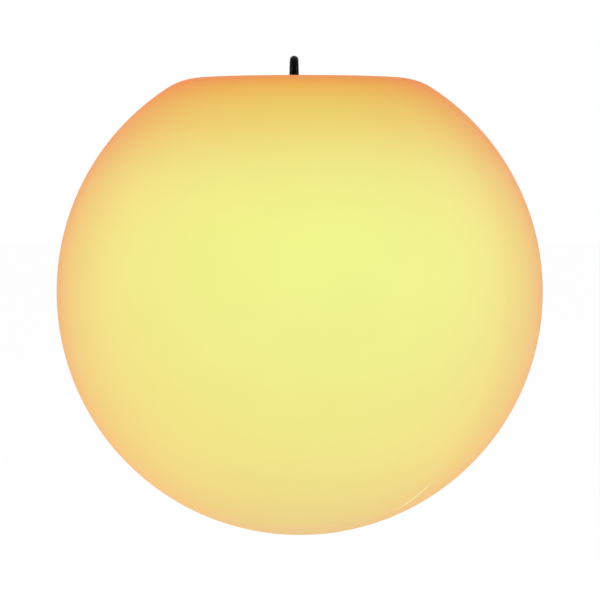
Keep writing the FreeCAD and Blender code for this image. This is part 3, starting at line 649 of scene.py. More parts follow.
def evaluated(mesh: Mesh, *kinds: tuple[str, dict]) -> Mesh:
    """Applies modifiers to a mesh.

    Args:
        mesh: the mesh to start from, which is removed.
        kinds: each modifier's type and its settings, in order.

    Returns:
        The resulting mesh, under the same name.
    """
    name = mesh.name
    helper = added(name + "_helper", mesh)
    for kind, settings in kinds:
        modifier = helper.modifiers.new(kind, kind)
        for setting, value in settings.items():
            if setting.startswith("Socket_"):
                modifier[setting] = value
            else:
                setattr(modifier, setting, value)
    graph = bpy.context.evaluated_depsgraph_get()
    result = bpy.data.meshes.new_from_object(helper.evaluated_get(graph))
    bpy.data.objects.remove(helper)
    bpy.data.meshes.remove(mesh)
    result.name = name
    return result


def eased(mesh: Mesh, width: float) -> Mesh:
    """Rounds a mesh's sharp edges to a width, as a mould's own corners do. The mesh is removed."""
    settings = {"width": width, "segments": 2, "limit_method": "ANGLE", "angle_limit": math.radians(SHARP)}
    return evaluated(mesh, ("BEVEL", settings))


def cut(body: Mesh, cutter: Mesh) -> Mesh:
    """Takes one closed mesh out of another and returns what is left. Both are removed."""
    helper = added(cutter.name, cutter)
    left = evaluated(body, ("BOOLEAN", {"object": helper, "operation": "DIFFERENCE", "solver": "EXACT"}))
    bpy.data.objects.remove(helper)
    bpy.data.meshes.remove(cutter)
    return left


def raised(mesh: Mesh, height: float) -> Mesh:
    """Moves a mesh up and returns it."""
    mesh.transform(Matrix.Translation((0.0, 0.0, height)))
    return mesh


def joined(name: str, meshes: Sequence[Mesh]) -> Mesh:
    """Puts separate closed meshes into one and removes them."""
    sketch = bmesh.new()
    for mesh in meshes:
        sketch.from_mesh(mesh)
        bpy.data.meshes.remove(mesh)
    whole = bpy.data.meshes.new(name)
    sketch.to_mesh(whole)
    sketch.free()
    return whole


# ---- Geometry Nodes ----
class GeometrySketch(TreeSketch):
    """A geometry tree with named inputs, whose result is made a plain mesh."""

    def __init__(self, name: str, inputs: dict[str, str]) -> None:
        """Makes the tree with its geometry in and out, and its named inputs.

        Args:
            name: the tree's name.
            inputs: each further input's name, and its socket type.
        """
        super().__init__(bpy.data.node_groups.new(name, "GeometryNodeTree"))
        face = self.tree.interface
        face.new_socket("Geometry", in_out="OUTPUT", socket_type="NodeSocketGeometry")
        face.new_socket("Geometry", in_out="INPUT", socket_type="NodeSocketGeometry")
        named = {key: face.new_socket(key, in_out="INPUT", socket_type=kind) for key, kind in inputs.items()}
        self.identifiers = {key: socket.identifier for key, socket in named.items()}
        self.source = self.node("NodeGroupInput").outputs
        self.sink = self.node("NodeGroupOutput").inputs["Geometry"]

    def close(self, geometry: Socket) -> None:
        """Ends the tree: makes copies real and gives the result its material."""
        real = self.node("GeometryNodeRealizeInstances", {"Geometry": geometry}).outputs[0]
        inputs = {"Geometry": real, "Material": self.source["Material"]}
        self.feed(self.sink, self.node("GeometryNodeSetMaterial", inputs).outputs[0])

    def made(self, mesh: Mesh, **values: object) -> Mesh:
        """Runs the tree on a mesh.

        Args:
            mesh: what goes in, which is removed.
            values: the named inputs' values.

        Returns:
            The result as a plain mesh.
        """
        settings = {self.identifiers[key]: value for key, value in values.items()}
        return evaluated(mesh, ("NODES", {"node_group": self.tree, **settings}))


class RingOfCopies(GeometrySketch):
    """Equal copies of one item, spaced evenly on a circle about the ball's axis."""

    def __init__(self) -> None:
        """Draws the tree: points on a circle, a copy of the item on each, turned outwards."""
        kinds = {"Count": "NodeSocketInt", "Circle": "NodeSocketFloat", "First": "NodeSocketFloat"}
        super().__init__("ring_of_copies", {**kinds, "Material": "NodeSocketMaterial"})
        index = self.node("GeometryNodeInputIndex").outputs[0]
        step = self.maths("DIVIDE", FULL_TURN, self.source["Count"])
        turn = self.maths("ADD", self.maths("MULTIPLY", index, step), self.source["First"])
        x = self.maths("MULTIPLY", self.maths("COSINE", turn), self.source["Circle"])
        y = self.maths("MULTIPLY", self.maths("SINE", turn), self.source["Circle"])
        place = self.node("ShaderNodeCombineXYZ", {"X": x, "Y": y}).outputs[0]
        inputs = {"Count": self.source["Count"], "Position": place}
        points = self.node("GeometryNodePoints", inputs).outputs[0]
        rotation = self.node("ShaderNodeCombineXYZ", {"Z": turn}).outputs[0]
        inputs = {"Points": points, "Instance": self.source["Geometry"], "Rotation": rotation}
        self.close(self.node("GeometryNodeInstanceOnPoints", inputs).outputs[0])

    def around(self, item: Mesh, count: int, circle: float, first: float, material: Material) -> Mesh:
        """Copies an item round the axis.

        Args:
            item: the item, drawn at the axis and facing +X, which is removed.
            count: how many copies there are.
            circle: the radius of the circle that they stand on.
            first: the first one's azimuth, in degrees.
            material: their material.

        Returns:
            All copies as one mesh.
        """
        return self.made(item, Count=count, Circle=circle, First=math.radians(first), Material=material)


class TurnedWall(GeometrySketch):
    """A wall turned about the ball's axis from its half section."""

    HUB = 1.0
    POLE_GAP = 1e-3

    def __init__(self) -> None:
        """Draws the tree: the section as a curve, swept round a small hub circle, with the poles merged."""
        super().__init__("turned_wall", {"Steps": "NodeSocketInt", "Material": "NodeSocketMaterial"})
        section = self.node("GeometryNodeMeshToCurve", {"Mesh": self.source["Geometry"]}).outputs[0]
        inputs = {"Resolution": self.source["Steps"], "Radius": self.HUB}
        hub = self.node("GeometryNodeCurvePrimitiveCircle", inputs).outputs[0]
        inputs = {"Curve": hub, "Profile Curve": section}
        swept = self.node("GeometryNodeCurveToMesh", inputs).outputs[0]
        inputs = {"Geometry": swept, "Distance": self.POLE_GAP}
        self.close(self.node("GeometryNodeMergeByDistance", inputs).outputs[0])

    def turned(
        self, name: str, section: Sequence[Point], steps: int, looped: bool, material: Material
    ) -> Mesh:
        """Turns a section.

        Args:
            name: the mesh's name.
            section: its corners, as radius and height.
            steps: how many faces go round.
            looped: whether the last corner joins the first. If not, both lie on the axis.
            material: the wall's material.

        Returns:
            The closed wall.
        """
        line = bpy.data.meshes.new(name)
        ties = [(step, step + 1) for step in range(len(section) - 1)]
        if looped:
            ties.append((len(section) - 1, 0))
        line.from_pydata([(out - self.HUB, -up, 0.0) for out, up in section], ties, [])
        wall = self.made(line, Steps=steps, Material=material)
        sketch = bmesh.new()
        sketch.from_mesh(wall)
        bpy.data.meshes.remove(wall)
        return mesh_of(name, sketch)


class SweptBead(GeometrySketch):
    """An oval bead laid along a path, thinner where the path's own swell says."""

    SIDES = 10

    def __init__(self) -> None:
        """Draws the tree: the path as a curve, and an oval swept along it."""
        kinds = {"Width": "NodeSocketFloat", "Height": "NodeSocketFloat", "Material": "NodeSocketMaterial"}
        super().__init__("swept_bead", kinds)
        path = self.node("GeometryNodeMeshToCurve", {"Mesh": self.source["Geometry"]}).outputs[0]
        inputs = {"Resolution": self.SIDES, "Radius": 0.5}
        circle = self.node("GeometryNodeCurvePrimitiveCircle", inputs).outputs[0]
        inputs = {"X": self.source["Width"], "Y": self.source["Height"], "Z": 1.0}
        size = self.node("ShaderNodeCombineXYZ", inputs).outputs[0]
        oval = self.node("GeometryNodeTransform", {"Geometry": circle, "Scale": size}).outputs[0]
        swell = self.node("GeometryNodeInputNamedAttribute", {"Name": "swell"}, data_type="FLOAT").outputs[0]
        inputs = {"Curve": path, "Profile Curve": oval, "Scale": swell, "Fill Caps": True}
        self.close(self.node("GeometryNodeCurveToMesh", inputs).outputs[0])

    def along(
        self, name: str, path: Sequence[Vector], swell: Sequence[float], size: Point, material: Material
    ) -> Mesh:
        """Lays the bead along a path.

        Args:
            name: the mesh's name.
            path: the points that it follows.
            swell: for each point, how full the bead is there, up to 1.
            size: its full width and height.
            material: its material.

        Returns:
            The bead as a closed mesh.
        """
        line = bpy.data.meshes.new(name)
        line.from_pydata(path, [(step, step + 1) for step in range(len(path) - 1)], [])
        line.attributes.new("swell", "FLOAT", "POINT").data.foreach_set("value", list(swell))
        return self.made(line, Width=size[0], Height=size[1], Material=material)


# ---- Workbench ----
class Workbench:
    """Puts finished meshes in their place in the frame, as pieces that ride on its bodies."""

    NEAR = 2e-4
    FLAT = 0.6

    def __init__(self, frame: dict) -> None:
        """Finds the ball in the frame, and draws the geometry trees.
        """
        self.nodes = frame["nodes"]
        self.centre, self.radius = ball_place()
        self.ring = RingOfCopies()
        self.wall = TurnedWall()
        self.bead = SweptBead()

    def piece(
        self, mesh: Mesh, body: Body, finish: Surface, *replaces: str, slot: str = "", crease: float = SHARP
    ) -> None:
        """Adds a piece to the light.

        Args:
            mesh: its mesh, in millimetres about the ball's centre.
            body: the body that it rides on.
            finish: its finish.
            replaces: the frame's nodes that it stands for.
            slot: not used.
            crease: the angle between faces, in degrees, from which an edge is shown sharp.
        """
        mesh.transform(Matrix.Translation(self.centre) @ Matrix.Scale(MM, 4))
        mesh.materials.clear()
        mesh.materials.append(finish.material())
        mesh.shade_smooth()
        mesh.set_sharp_from_angle(angle=math.radians(crease))
        mesh = evaluated(mesh, ("WEIGHTED_NORMAL", {"keep_sharp": True, "weight": 100}))
        made = added(mesh.name, mesh)
        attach(made, body.value)
        if replaces:
            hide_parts(*replaces)
        LOG.info("%s: %d faces on %s", mesh.name, len(mesh.polygons), body.value)

    def copy(self, node: str, name: str) -> Mesh:
        """Copies a frame node's mesh, merged and with its flat faces whole.

        Args:
            node: the frame node's name.
            name: the new mesh's name.

        Returns:
            The copy, in millimetres about the ball's centre.
        """
        sketch = bmesh.new()
        sketch.from_mesh(self.nodes[node].data)
        home = Matrix.Scale(1.0 / MM, 4) @ Matrix.Translation(-self.centre)
        bmesh.ops.transform(sketch, matrix=home, verts=sketch.verts)
        bmesh.ops.remove_doubles(sketch, verts=sketch.verts, dist=self.NEAR)
        flat = math.radians(self.FLAT)
        bmesh.ops.dissolve_limit(sketch, angle_limit=flat, verts=sketch.verts, edges=sketch.edges)
        mesh = bpy.data.meshes.new(name)
        sketch.to_mesh(mesh)
        sketch.free()
        return mesh

    def soften(self, node: str, name: str, edge: float, body: Body, finish: Surface) -> None:
        """Adds a copy of a frame node with its edges eased, in that node's place.

        Args:
            node: the frame node's name.
            name: the new piece's name.
            edge: how wide its edges are rounded.
            body: the body that it rides on.
            finish: its finish.
        """
        self.piece(eased(self.copy(node, name), edge), body, finish, node)

    def dress(self, finish: Surface, *nodes: str) -> None:
        """Gives frame nodes that keep their own mesh a finish.

        Args:
            finish: the finish.
            nodes: the nodes' names.
        """
        for node in nodes:
            for slot in self.nodes[node].material_slots:
                slot.link = "OBJECT"
                slot.material = finish.material()
            LOG.info("%s: dressed in %s", node, finish.name)


# ---- The light's sub-assemblies ----
@dataclass(frozen=True)
class Ball:
    """The moulded ball: its lit skin, the well let into its flat top, and the parting line of its mould."""

    radius: float = 175.0
    wall: float = 3.0
    flat: float = 154.0
    corner: float = 44.0
    mouth: float = 67.0
    ledge: float = 64.5
    rebate: float = 152.5
    well: float = 58.5
    lip: float = 5.0
    floor: float = 134.5
    heel: float = 3.0
    neck_hole: float = 44.0
    boss: Point = (5.5, 122.5)
    boss_circle: float = 50.5
    bosses: int = 6
    insert: float = 3.0
    insert_length: float = 10.0
    weld: float = 0.35
    seam_azimuth: float = SEAM_AZIMUTH
    seam_size: Point = (1.9, 0.9)
    seam_trimmed: float = 0.16
    flash: Point = (-142.5, 8.5)
    skin_steps: int = 224
    side_steps: int = 150
    corner_steps: int = 14
    well_steps: int = 160
    edge_steps: tuple[int, int] = (8, 6)
    boss_steps: int = 24

    def blend(self) -> tuple[Point, float]:
        """Returns the centre of the soft corner's arc, and the angle at which it meets the ball."""
        height = self.flat - self.corner
        out = math.sqrt((self.radius - self.corner) ** 2 - height**2)
        return (out, height), math.degrees(math.atan2(height, out))

    def outside(self, inset: float) -> list[Point]:
        """Returns the half section from the bottom pole to the flat, a given depth inside the skin."""
        centre, angle = self.blend()
        side = arc((0.0, 0.0), self.radius - inset, -90.0, angle, self.side_steps)
        side[0] = (0.0, inset - self.radius)
        return side + arc(centre, self.corner - inset, angle, 90.0, self.corner_steps)[1:]

    def skin(self, bench: Workbench) -> Mesh:
        """Returns the hollow ball with its rebated mouth."""
        mouth = [(self.mouth + self.weld, self.flat), (self.mouth, self.flat - self.weld)]
        mouth += [(self.mouth, self.rebate), (self.ledge, self.rebate), (self.ledge, self.flat - self.wall)]
        section = self.outside(0.0) + mouth + self.outside(self.wall)[::-1]
        return bench.wall.turned("ball_skin", section, self.skin_steps, False, BALL_SKIN.material())

    def well_section(self) -> list[Point]:
        """Returns the well's half section: a stepped flange, a rounded lip, the side and the holed floor."""
        lip = (self.well + self.lip, self.flat - self.lip)
        heel = (self.well - self.heel, self.floor + self.heel)
        under = self.flat - self.wall
        many, few = self.edge_steps
        section = [(self.mouth, self.rebate), (self.mouth, self.flat - self.weld)]
        section.append((self.mouth - self.weld, self.flat))
        section += arc(lip, self.lip, 90.0, 180.0, many)
        section += arc(heel, self.heel, 0.0, -90.0, few)
        section += [(self.neck_hole, self.floor), (self.neck_hole, self.floor - self.wall)]
        section += arc(heel, self.heel + self.wall, -90.0, 0.0, few)
        section += arc(lip, self.lip - self.wall, 180.0, 90.0, few)
        return section + [(self.ledge, under), (self.ledge, self.rebate)]

    def well_cup(self, bench: Workbench) -> Mesh:
        """Returns the well with six blind bosses under its floor."""
        material = SHADED_WELL_SKIN.material()
        out, low = self.boss
        high = self.floor - self.wall / 2.0
        insert_low = self.floor - self.insert_length
        section = [(0.0, low), (out, low), (out, high), (self.insert, high), (self.insert, insert_low)]
        boss = lathed("boss", section + [(0.0, insert_low)], self.boss_steps, False)
        bosses = bench.ring.around(boss, self.bosses, self.boss_circle, 0.0, material)
        cup = bench.wall.turned("well", self.well_section(), self.well_steps, True, material)
        return joined("well_cup_skin", [cup, bosses])

    def seam(self, bench: Workbench) -> Mesh:
        """Returns the parting line: a fine trimmed bead over the ball, with some flash low at the right, and
        a painted cream glint on the bead low down.
        """
        azimuth = math.radians(self.seam_azimuth)
        side = self.outside(0.0)[1:]
        profile = [(-out, height) for out, height in side[::-1]] + side
        across = Vector((math.cos(azimuth), math.sin(azimuth), 0.0))
        path = [across * out + Vector((0.0, 0.0, height)) for out, height in profile]
        middle, reach = self.flash
        left = [self.seam_trimmed for _ in side]
        right = [math.exp(-(((height - middle) / reach) ** 4)) for _, height in side]
        swell = left + [self.seam_trimmed + (1.0 - self.seam_trimmed) * share for share in right]
        return bench.bead.along("ball_parting_line", path, swell, self.seam_size, GLINT_SEAM_SKIN.material())

    def build(self, bench: Workbench) -> None:
        """Adds the ball's pieces."""
        bench.piece(self.skin(bench), Body.GLOBE, BALL_SKIN, "globe_shell")
        bench.piece(self.well_cup(bench), Body.GLOBE, SHADED_WELL_SKIN, "well_cup")
        bench.piece(self.seam(bench), Body.GLOBE, GLINT_SEAM_SKIN)


@dataclass(frozen=True)
class Screw:
    """A rounded or countersunk screw head with a cross recess, and its shank.

    The recess's reach and half width are shares of the head's radius, its depth one of the head's height.
    """

    head: float
    head_height: float
    shank: float
    length: float
    sunk: bool = False
    rim: float = 0.2
    dome_foot: float = 0.35
    dome_start: float = 10.0
    dome_steps: int = 8
    reach: float = 0.55
    half_width: float = 0.13
    depth: float = 0.6
    steps: int = 32

    def section(self) -> list[Point]:
        """Returns the screw's half section, from its point up, with the head's seat at height 0."""
        point = self.shank / 2.0
        low = [(0.0, -self.length), (self.shank - point, -self.length), (self.shank, point - self.length)]
        if self.sunk:
            rim = self.rim * self.head_height
            return low + [(self.shank, -self.head_height), (self.head, -rim), (self.head, 0.0), (0.0, 0.0)]
        dome = arc((0.0, 0.0), 1.0, self.dome_start, 90.0, self.dome_steps)
        foot = self.dome_foot
        rise = [(self.head * out, self.head_height * (foot + (1.0 - foot) * up)) for out, up in dome]
        return low + [(self.shank, 0.0), (self.head, 0.0)] + rise[:-1] + [(0.0, self.head_height)]

    def mesh(self, name: str) -> Mesh:
        """Returns one screw with its recess cut."""
        top = 0.0 if self.sunk else self.head_height
        reach, width = self.reach * self.head, self.half_width * self.head
        cross = [(width, width), (width, reach), (-width, reach), (-width, width), (-reach, width)]
        cross += [(-reach, -width), (-width, -width), (-width, -reach), (width, -reach), (width, -width)]
        cross += [(reach, -width), (reach, width)]
        cutter = plate(name + "_cross", cross, top - self.depth * self.head_height, top + 1.0)
        return cut(lathed(name, self.section(), self.steps, False), cutter)

    def ring(self, bench: Workbench, name: str, height: float, spread: Spread) -> Mesh:
        """Returns equal steel screws on a circle about the ball's axis.

        Args:
            bench: the workbench.
            name: the mesh's name.
            height: how high the heads' seats are.
            spread: their number, their circle's radius, and the first one's azimuth in degrees.

        Returns:
            The screws as one mesh.
        """
        return bench.ring.around(raised(self.mesh(name), height), *spread, STEEL.material())


@dataclass(frozen=True)
class Neck:
    """The socket ring screwed to the well's floor, with its gasket."""

    flange_top: float = FLANGE_TOP
    screws: Spread = (6, 50.5, 0.0)
    screw: Screw = Screw(3.6, 2.4, 2.0, 10.0)
    edge: float = 0.3

    def build(self, bench: Workbench) -> None:
        """Adds the neck's pieces."""
        bench.soften("neck_ring", "neck_socket_ring", self.edge, Body.GLOBE, SOCKET_BLACK)
        screws = self.screw.ring(bench, "neck_screws", self.flange_top, self.screws)
        bench.piece(screws, Body.GLOBE, STEEL, "neck_ring_screws")
        bench.dress(SEAL_RUBBER, "neck_gasket")
        bench.dress(BRASS, "neck_inserts")


@dataclass(frozen=True)
class Housing:
    """The light unit's barrel and its cover with the scalloped grip rim."""

    cover_top: float = COVER_TOP
    screws: Spread = (4, 39.7, 45.0)
    screw: Screw = Screw(2.5, 1.4, 1.25, 5.2, sunk=True)
    edge: float = 0.28

    def build(self, bench: Workbench) -> None:
        """Adds the housing's pieces."""
        bench.soften("unit_cover", "cover_plate", self.edge, Body.UNIT, COVER_BLACK)
        screws = self.screw.ring(bench, "cover_screw_heads", self.cover_top, self.screws)
        bench.piece(screws, Body.UNIT, STEEL, "cover_screws")
        bench.dress(HOUSING_BLACK, "unit_barrel")
        bench.dress(SEAL_RUBBER, "cover_seal")


@dataclass(frozen=True)
class Bail:
    """The moulded hanging bail: a round arch, a little thicker at its feet, with an eye at each foot.

    The bar's sizes are half sizes along X and sideways. Heights in an eye are measured from its pin.
    """

    x: float = -4.0
    half_span: float = 15.5
    pivot: float = 149.8
    arch: float = 151.75
    crown: Point = (3.15, 2.95)
    foot: Point = (3.55, 3.36)
    eye: float = 4.0
    eye_half_width: float = 3.2
    bore: float = 1.56
    bore_reach: float = 30.0
    bore_steps: int = 32
    spring: float = 3.0
    eye_start: float = -86.0
    blend_start: float = 0.3
    squareness: Point = (5.0, 2.0)
    flash: float = 0.05
    flash_sharpness: float = 12.0
    spokes: int = 48
    eye_steps: int = 15
    bar_steps: int = 7
    arch_steps: int = 56
    crease: float = 60.0

    def outline(self, half_x: float, half_side: float, square: float) -> list[Point]:
        """Draws one section of the bar or the eye, with the faint ridge that the mould's halves leave.

        Args:
            half_x: its half size along X.
            half_side: its half size sideways.
            square: how square its corners are, from 2 for an oval.

        Returns:
            Its round of points, along X and sideways.
        """
        power = 2.0 / square
        ring = []
        for spoke in range(self.spokes):
            turn = FULL_TURN * spoke / self.spokes
            ease = [math.copysign(abs(part) ** power, part) for part in (math.cos(turn), math.sin(turn))]
            ridge = max(0.0, 1.0 - abs(math.cos(turn)) * self.flash_sharpness)
            flash = 1.0 + self.flash / half_side * ridge
            ring.append((half_x * ease[0], half_side * ease[1] * flash))
        return ring

    def foot_heights(self) -> list[float]:
        """Returns the heights of one foot's sections, from the eye's low end up to the round bar."""
        parts = [step / self.eye_steps for step in range(self.eye_steps + 1)]
        turns = [math.radians(self.eye_start + (90.0 - self.eye_start) * part) for part in parts]
        rest = self.arch + self.spring - self.pivot - self.eye
        bar = [self.eye + rest * step / self.bar_steps for step in range(1, self.bar_steps + 1)]
        return [self.eye * math.sin(turn) for turn in turns] + bar

    def foot_sections(self) -> list[list[Vector]]:
        """Returns the sections of one foot at y 0, rounding from the eye's square sides to the bar."""
        top = self.arch + self.spring - self.pivot
        sections = []
        for height in self.foot_heights():
            share = min(1.0, max(0.0, (height - self.blend_start) / (top - self.blend_start)))
            share = share * share * (3.0 - 2.0 * share)
            half_x = self.eye * math.cos(math.asin(max(-1.0, min(1.0, height / self.eye))))
            if height > 0.0:
                half_x = max(half_x, self.foot[0])
            half_side = self.eye_half_width + (self.foot[1] - self.eye_half_width) * share
            square = self.squareness[0] + (self.squareness[1] - self.squareness[0]) * share
            ring = self.outline(half_x, half_side, square)
            sections.append([Vector((self.x + x, side, self.pivot + height)) for x, side in ring])
        return sections

    def arch_sections(self) -> list[list[Vector]]:
        """Returns the sections of the arch, from just past one foot to just before the other."""
        sections = []
        start = math.asin(self.spring / self.half_span)
        for step in range(1, self.arch_steps):
            turn = start + (math.pi - 2.0 * start) * step / self.arch_steps
            out = Vector((0.0, -math.cos(turn), math.sin(turn)))
            sizes = [low + (high - low) * math.sin(turn) for low, high in zip(self.foot, self.crown)]
            ring = self.outline(*sizes, self.squareness[1])
            centre = Vector((self.x, 0.0, self.arch)) + out * self.half_span
            sections.append([centre + Vector((x, 0, 0)) - out * side for x, side in ring])
        return sections

    def mesh(self) -> Mesh:
        """Returns the bail: one foot, the arch and the other foot, with a bore through each eye."""
        foot = self.foot_sections()
        aside = Vector((0.0, self.half_span, 0.0))
        near = [[place - aside for place in section] for section in foot]
        mirror = Matrix.Scale(-1.0, 3, (0.0, 1.0, 0.0))
        far = [[mirror @ place + aside for place in section] for section in foot[::-1]]
        reach = self.bore_reach
        bit = [(0.0, -reach), (self.bore, -reach), (self.bore, reach), (0.0, reach)]
        cutter = lathed("bail_bore", bit, self.bore_steps, False)
        turn = Matrix.Rotation(math.pi / 2.0, 4, "X")
        cutter.transform(Matrix.Translation((self.x, 0.0, self.pivot)) @ turn)
        return cut(lofted("bail_arch", near + self.arch_sections() + far), cutter)

    def build(self, bench: Workbench) -> None:
        """Adds the bail and its pins."""
        bench.piece(self.mesh(), Body.BAIL, BAIL_BLACK, "hanging_bail", crease=self.crease)
        bench.dress(STEEL, "bail_pivot_pins")


@dataclass(frozen=True)
class Stroke:
    """A line of even width that printed and moulded symbols are drawn with."""

    width: float
    low: float
    high: float
    steps: int = 40

    def bar(self, start: Point, end: Point) -> Mesh:
        """Returns a straight stroke from one place to another."""
        share = self.width / 2.0 / math.dist(start, end)
        aside = ((start[1] - end[1]) * share, (end[0] - start[0]) * share)
        near = [(x + aside[0], y + aside[1]) for x, y in (end, start)]
        far = [(x - aside[0], y - aside[1]) for x, y in (start, end)]
        return plate("stroke", near + far, self.low, self.high)

    def bow(self, radius: float, start: float, end: float) -> Mesh:
        """Returns a round stroke about the axis, from one azimuth in degrees to another."""
        outer = arc((0.0, 0.0), radius + self.width / 2.0, start, end, self.steps)
        inner = arc((0.0, 0.0), radius - self.width / 2.0, end, start, self.steps)
        return plate("stroke", outer + inner, self.low, self.high)

    def patch(self, outline: Sequence[Point]) -> Mesh:
        """Returns a filled outline."""
        return plate("stroke", outline, self.low, self.high)


@dataclass(frozen=True)
class Padlock:
    """A small padlock symbol that stands with its foot towards the rim."""

    stroke: Stroke
    body: Point = (3.4, 2.5)
    top: float = 0.6
    shackle: float = 1.05
    shackle_rise: float = 0.5
    leg: Point = (0.5, 0.6)
    lift: float = 0.7

    def mesh(self, circle: float, azimuth: float, is_open: bool) -> Mesh:
        """Returns the padlock.

        Args:
            circle: how far its middle is from the axis.
            azimuth: where it stands, in degrees.
            is_open: whether its shackle is swung up at one side.

        Returns:
            The symbol.
        """
        half, foot = self.body[0] / 2.0, -self.body[1] + self.top
        parts = [self.stroke.patch([(-half, foot), (half, foot), (half, self.top), (-half, self.top)])]
        rise = self.top + (self.lift if is_open else 0.0)
        bow = self.stroke.bow(self.shackle, 0.0, 180.0)
        bow.transform(Matrix.Translation((0.0, rise + self.shackle_rise, 0.0)))
        sides = [-self.shackle] if is_open else [-self.shackle, self.shackle]
        low, high = self.leg[0], rise + self.leg[1]
        parts += [bow] + [self.stroke.bar((side, low), (side, high)) for side in sides]
        whole = joined("padlock", parts)
        turn = Matrix.Rotation(math.radians(azimuth + 90.0), 4, "Z")
        whole.transform(turn @ Matrix.Translation((0.0, -circle, 0.0)))
        return whole


@dataclass(frozen=True)
class Marks:
    """Printed symbols and moulded trim on the light unit: how it turns, and what the controls do."""

    cover_top: float = COVER_TOP
    flange_top: float = FLANGE_TOP
    flap_top: float = 147.4
    ink: float = 0.06
    ink_root: float = 0.1
    line: float = 0.55
    locked: float = 270.0
    turn: float = 60.0
    lock_circle: float = 37.4
    arrow_circle: float = 33.6
    arrow_ends: Point = (229.0, 255.0)
    arrow_head: Point = (5.0, 1.2)
    pointer: Point = (48.6, 53.2)
    pointer_half: float = 1.5
    button: Point = (23.5, 0.0)
    bezel: Point = (7.6, 8.6)
    bezel_height: float = 0.4
    bezel_root: float = 0.3
    bezel_steps: tuple[int, int] = (10, 72)
    power: Stroke = Stroke(0.6, 145.95, 146.36)
    power_ring: float = 2.3
    power_ends: Point = (130.0, 410.0)
    power_bar: Point = (0.9, 3.3)
    flap: Point = (-29.6, 0.0)

    def stroke(self, top: float) -> Stroke:
        """Returns a printed stroke on a level surface."""
        return Stroke(self.line, top - self.ink_root, top + self.ink)

    def locks(self) -> Mesh:
        """Returns the two padlocks and the arrow between them, which shows the way that opens."""
        stroke = self.stroke(self.cover_top)
        lock = Padlock(stroke)
        shut = lock.mesh(self.lock_circle, self.locked, False)
        loose = lock.mesh(self.lock_circle, self.locked - self.turn, True)
        start, end = self.arrow_ends
        length, half = self.arrow_head
        head = []
        for out, azimuth in ((0.0, end + length), (-half, end), (half, end)):
            turn = math.radians(azimuth)
            reach = self.arrow_circle + out
            head.append((reach * math.cos(turn), reach * math.sin(turn)))
        arrow = [stroke.bow(self.arrow_circle, start, end), stroke.patch(head)]
        return joined("turn_marks", [shut, loose, *arrow])

    def pointer_mark(self) -> Mesh:
        """Returns the small triangle on the socket ring that the padlocks are read against."""
        near, far = self.pointer
        outline = [(0.0, -near), (-self.pointer_half, -far), (self.pointer_half, -far)]
        mark = self.stroke(self.flange_top).patch(outline)
        return joined("turn_pointer", [mark])

    def power_mark(self) -> Mesh:
        """Returns the power symbol that is moulded in the button's dish."""
        ring = self.power.bow(self.power_ring, *self.power_ends)
        bar = self.power.bar(*[(0.0, end) for end in self.power_bar])
        mark = joined("button_power_mark", [ring, bar])
        mark.transform(Matrix.Translation((*self.button, 0.0)))
        return mark

    def charge_mark(self) -> Mesh:
        """Returns the lightning bolt on the flap over the charging port."""
        bolt = [(0.9, 3.2), (-1.7, -0.5), (-0.2, -0.5), (-0.9, -3.2), (1.7, 0.5), (0.2, 0.5)]
        mark = joined("flap_charge_mark", [self.stroke(self.flap_top).patch(bolt)])
        mark.transform(Matrix.Translation((*self.flap, 0.0)))
        return mark

    def bezel_ring(self) -> Mesh:
        """Returns the low rounded ring moulded round the button's hole."""
        inner, outer = self.bezel
        middle, half = (inner + outer) / 2.0, (outer - inner) / 2.0
        over, round_about = self.bezel_steps
        crest = arc((0.0, 0.0), 1.0, 0.0, 180.0, over)
        section = [(middle + out * half, self.cover_top + up * self.bezel_height) for out, up in crest]
        section += [(side, self.cover_top - self.bezel_root) for side in self.bezel]
        ring = lathed("button_bezel", section, round_about, True)
        ring.transform(Matrix.Translation((*self.button, 0.0)))
        return ring

    def build(self, bench: Workbench) -> None:
        """Adds the marks and the bezel."""
        bench.piece(self.locks(), Body.UNIT, MARK_GREY)
        bench.piece(self.pointer_mark(), Body.GLOBE, MARK_GREY, slot=SOCKET_BLACK.slot)
        bench.piece(self.power_mark(), Body.BUTTON, MARK_GREY, slot=BUTTON_RUBBER.slot)
        bench.piece(self.charge_mark(), Body.FLAP, MARK_GREY, slot=FLAP_BLACK.slot)
        bench.piece(self.bezel_ring(), Body.UNIT, COVER_BLACK)


@dataclass(frozen=True)
class Controls:
    """The mode button, the charging port under its flap, and the charge light."""

    button_edge: float = 0.12
    flap_edge: float = 0.2

    def build(self, bench: Workbench) -> None:
        """Adds the controls' pieces."""
        bench.soften("mode_button", "mode_button_cap", self.button_edge, Body.BUTTON, BUTTON_RUBBER)
        bench.soften("port_cover", "port_flap_plate", self.flap_edge, Body.FLAP, FLAP_BLACK)
        bench.dress(SEAL_RUBBER, "button_boot", "port_plug")
        bench.dress(COMPONENT_BLACK, "button_switch")
        bench.dress(STEEL, "port_cover_pin")
        bench.dress(PLATED, "charge_socket")
        bench.dress(CLEAR_PIPE, "indicator_window")


@dataclass(frozen=True)
class Inside:
    """The board, the battery and the lamp, which the housing hides."""

    def build(self, bench: Workbench) -> None:
        """Dresses the inner pieces."""
        bench.dress(BOARD_GREEN, "control_board")
        bench.dress(COMPONENT_BLACK, "board_components")
        bench.dress(STEEL, "board_screws", "led_board_screws")
        bench.dress(CELL_SLEEVE, "battery_cells")
        bench.dress(HOUSING_BLACK, "battery_holder", "lens_ring")
        bench.dress(PLATED, "battery_straps")
        bench.dress(LEAD_RED, "battery_leads", "led_leads")
        bench.dress(FOAM_GREY, "battery_pad")
        bench.dress(ALUMINIUM, "heat_spreader")
        bench.dress(BOARD_WHITE, "led_board")
        bench.dress(PHOSPHOR, "led_chips")
        bench.dress(FROSTED_LENS, "lamp_lens")
        bench.dress(SEAL_RUBBER, "lens_seal")


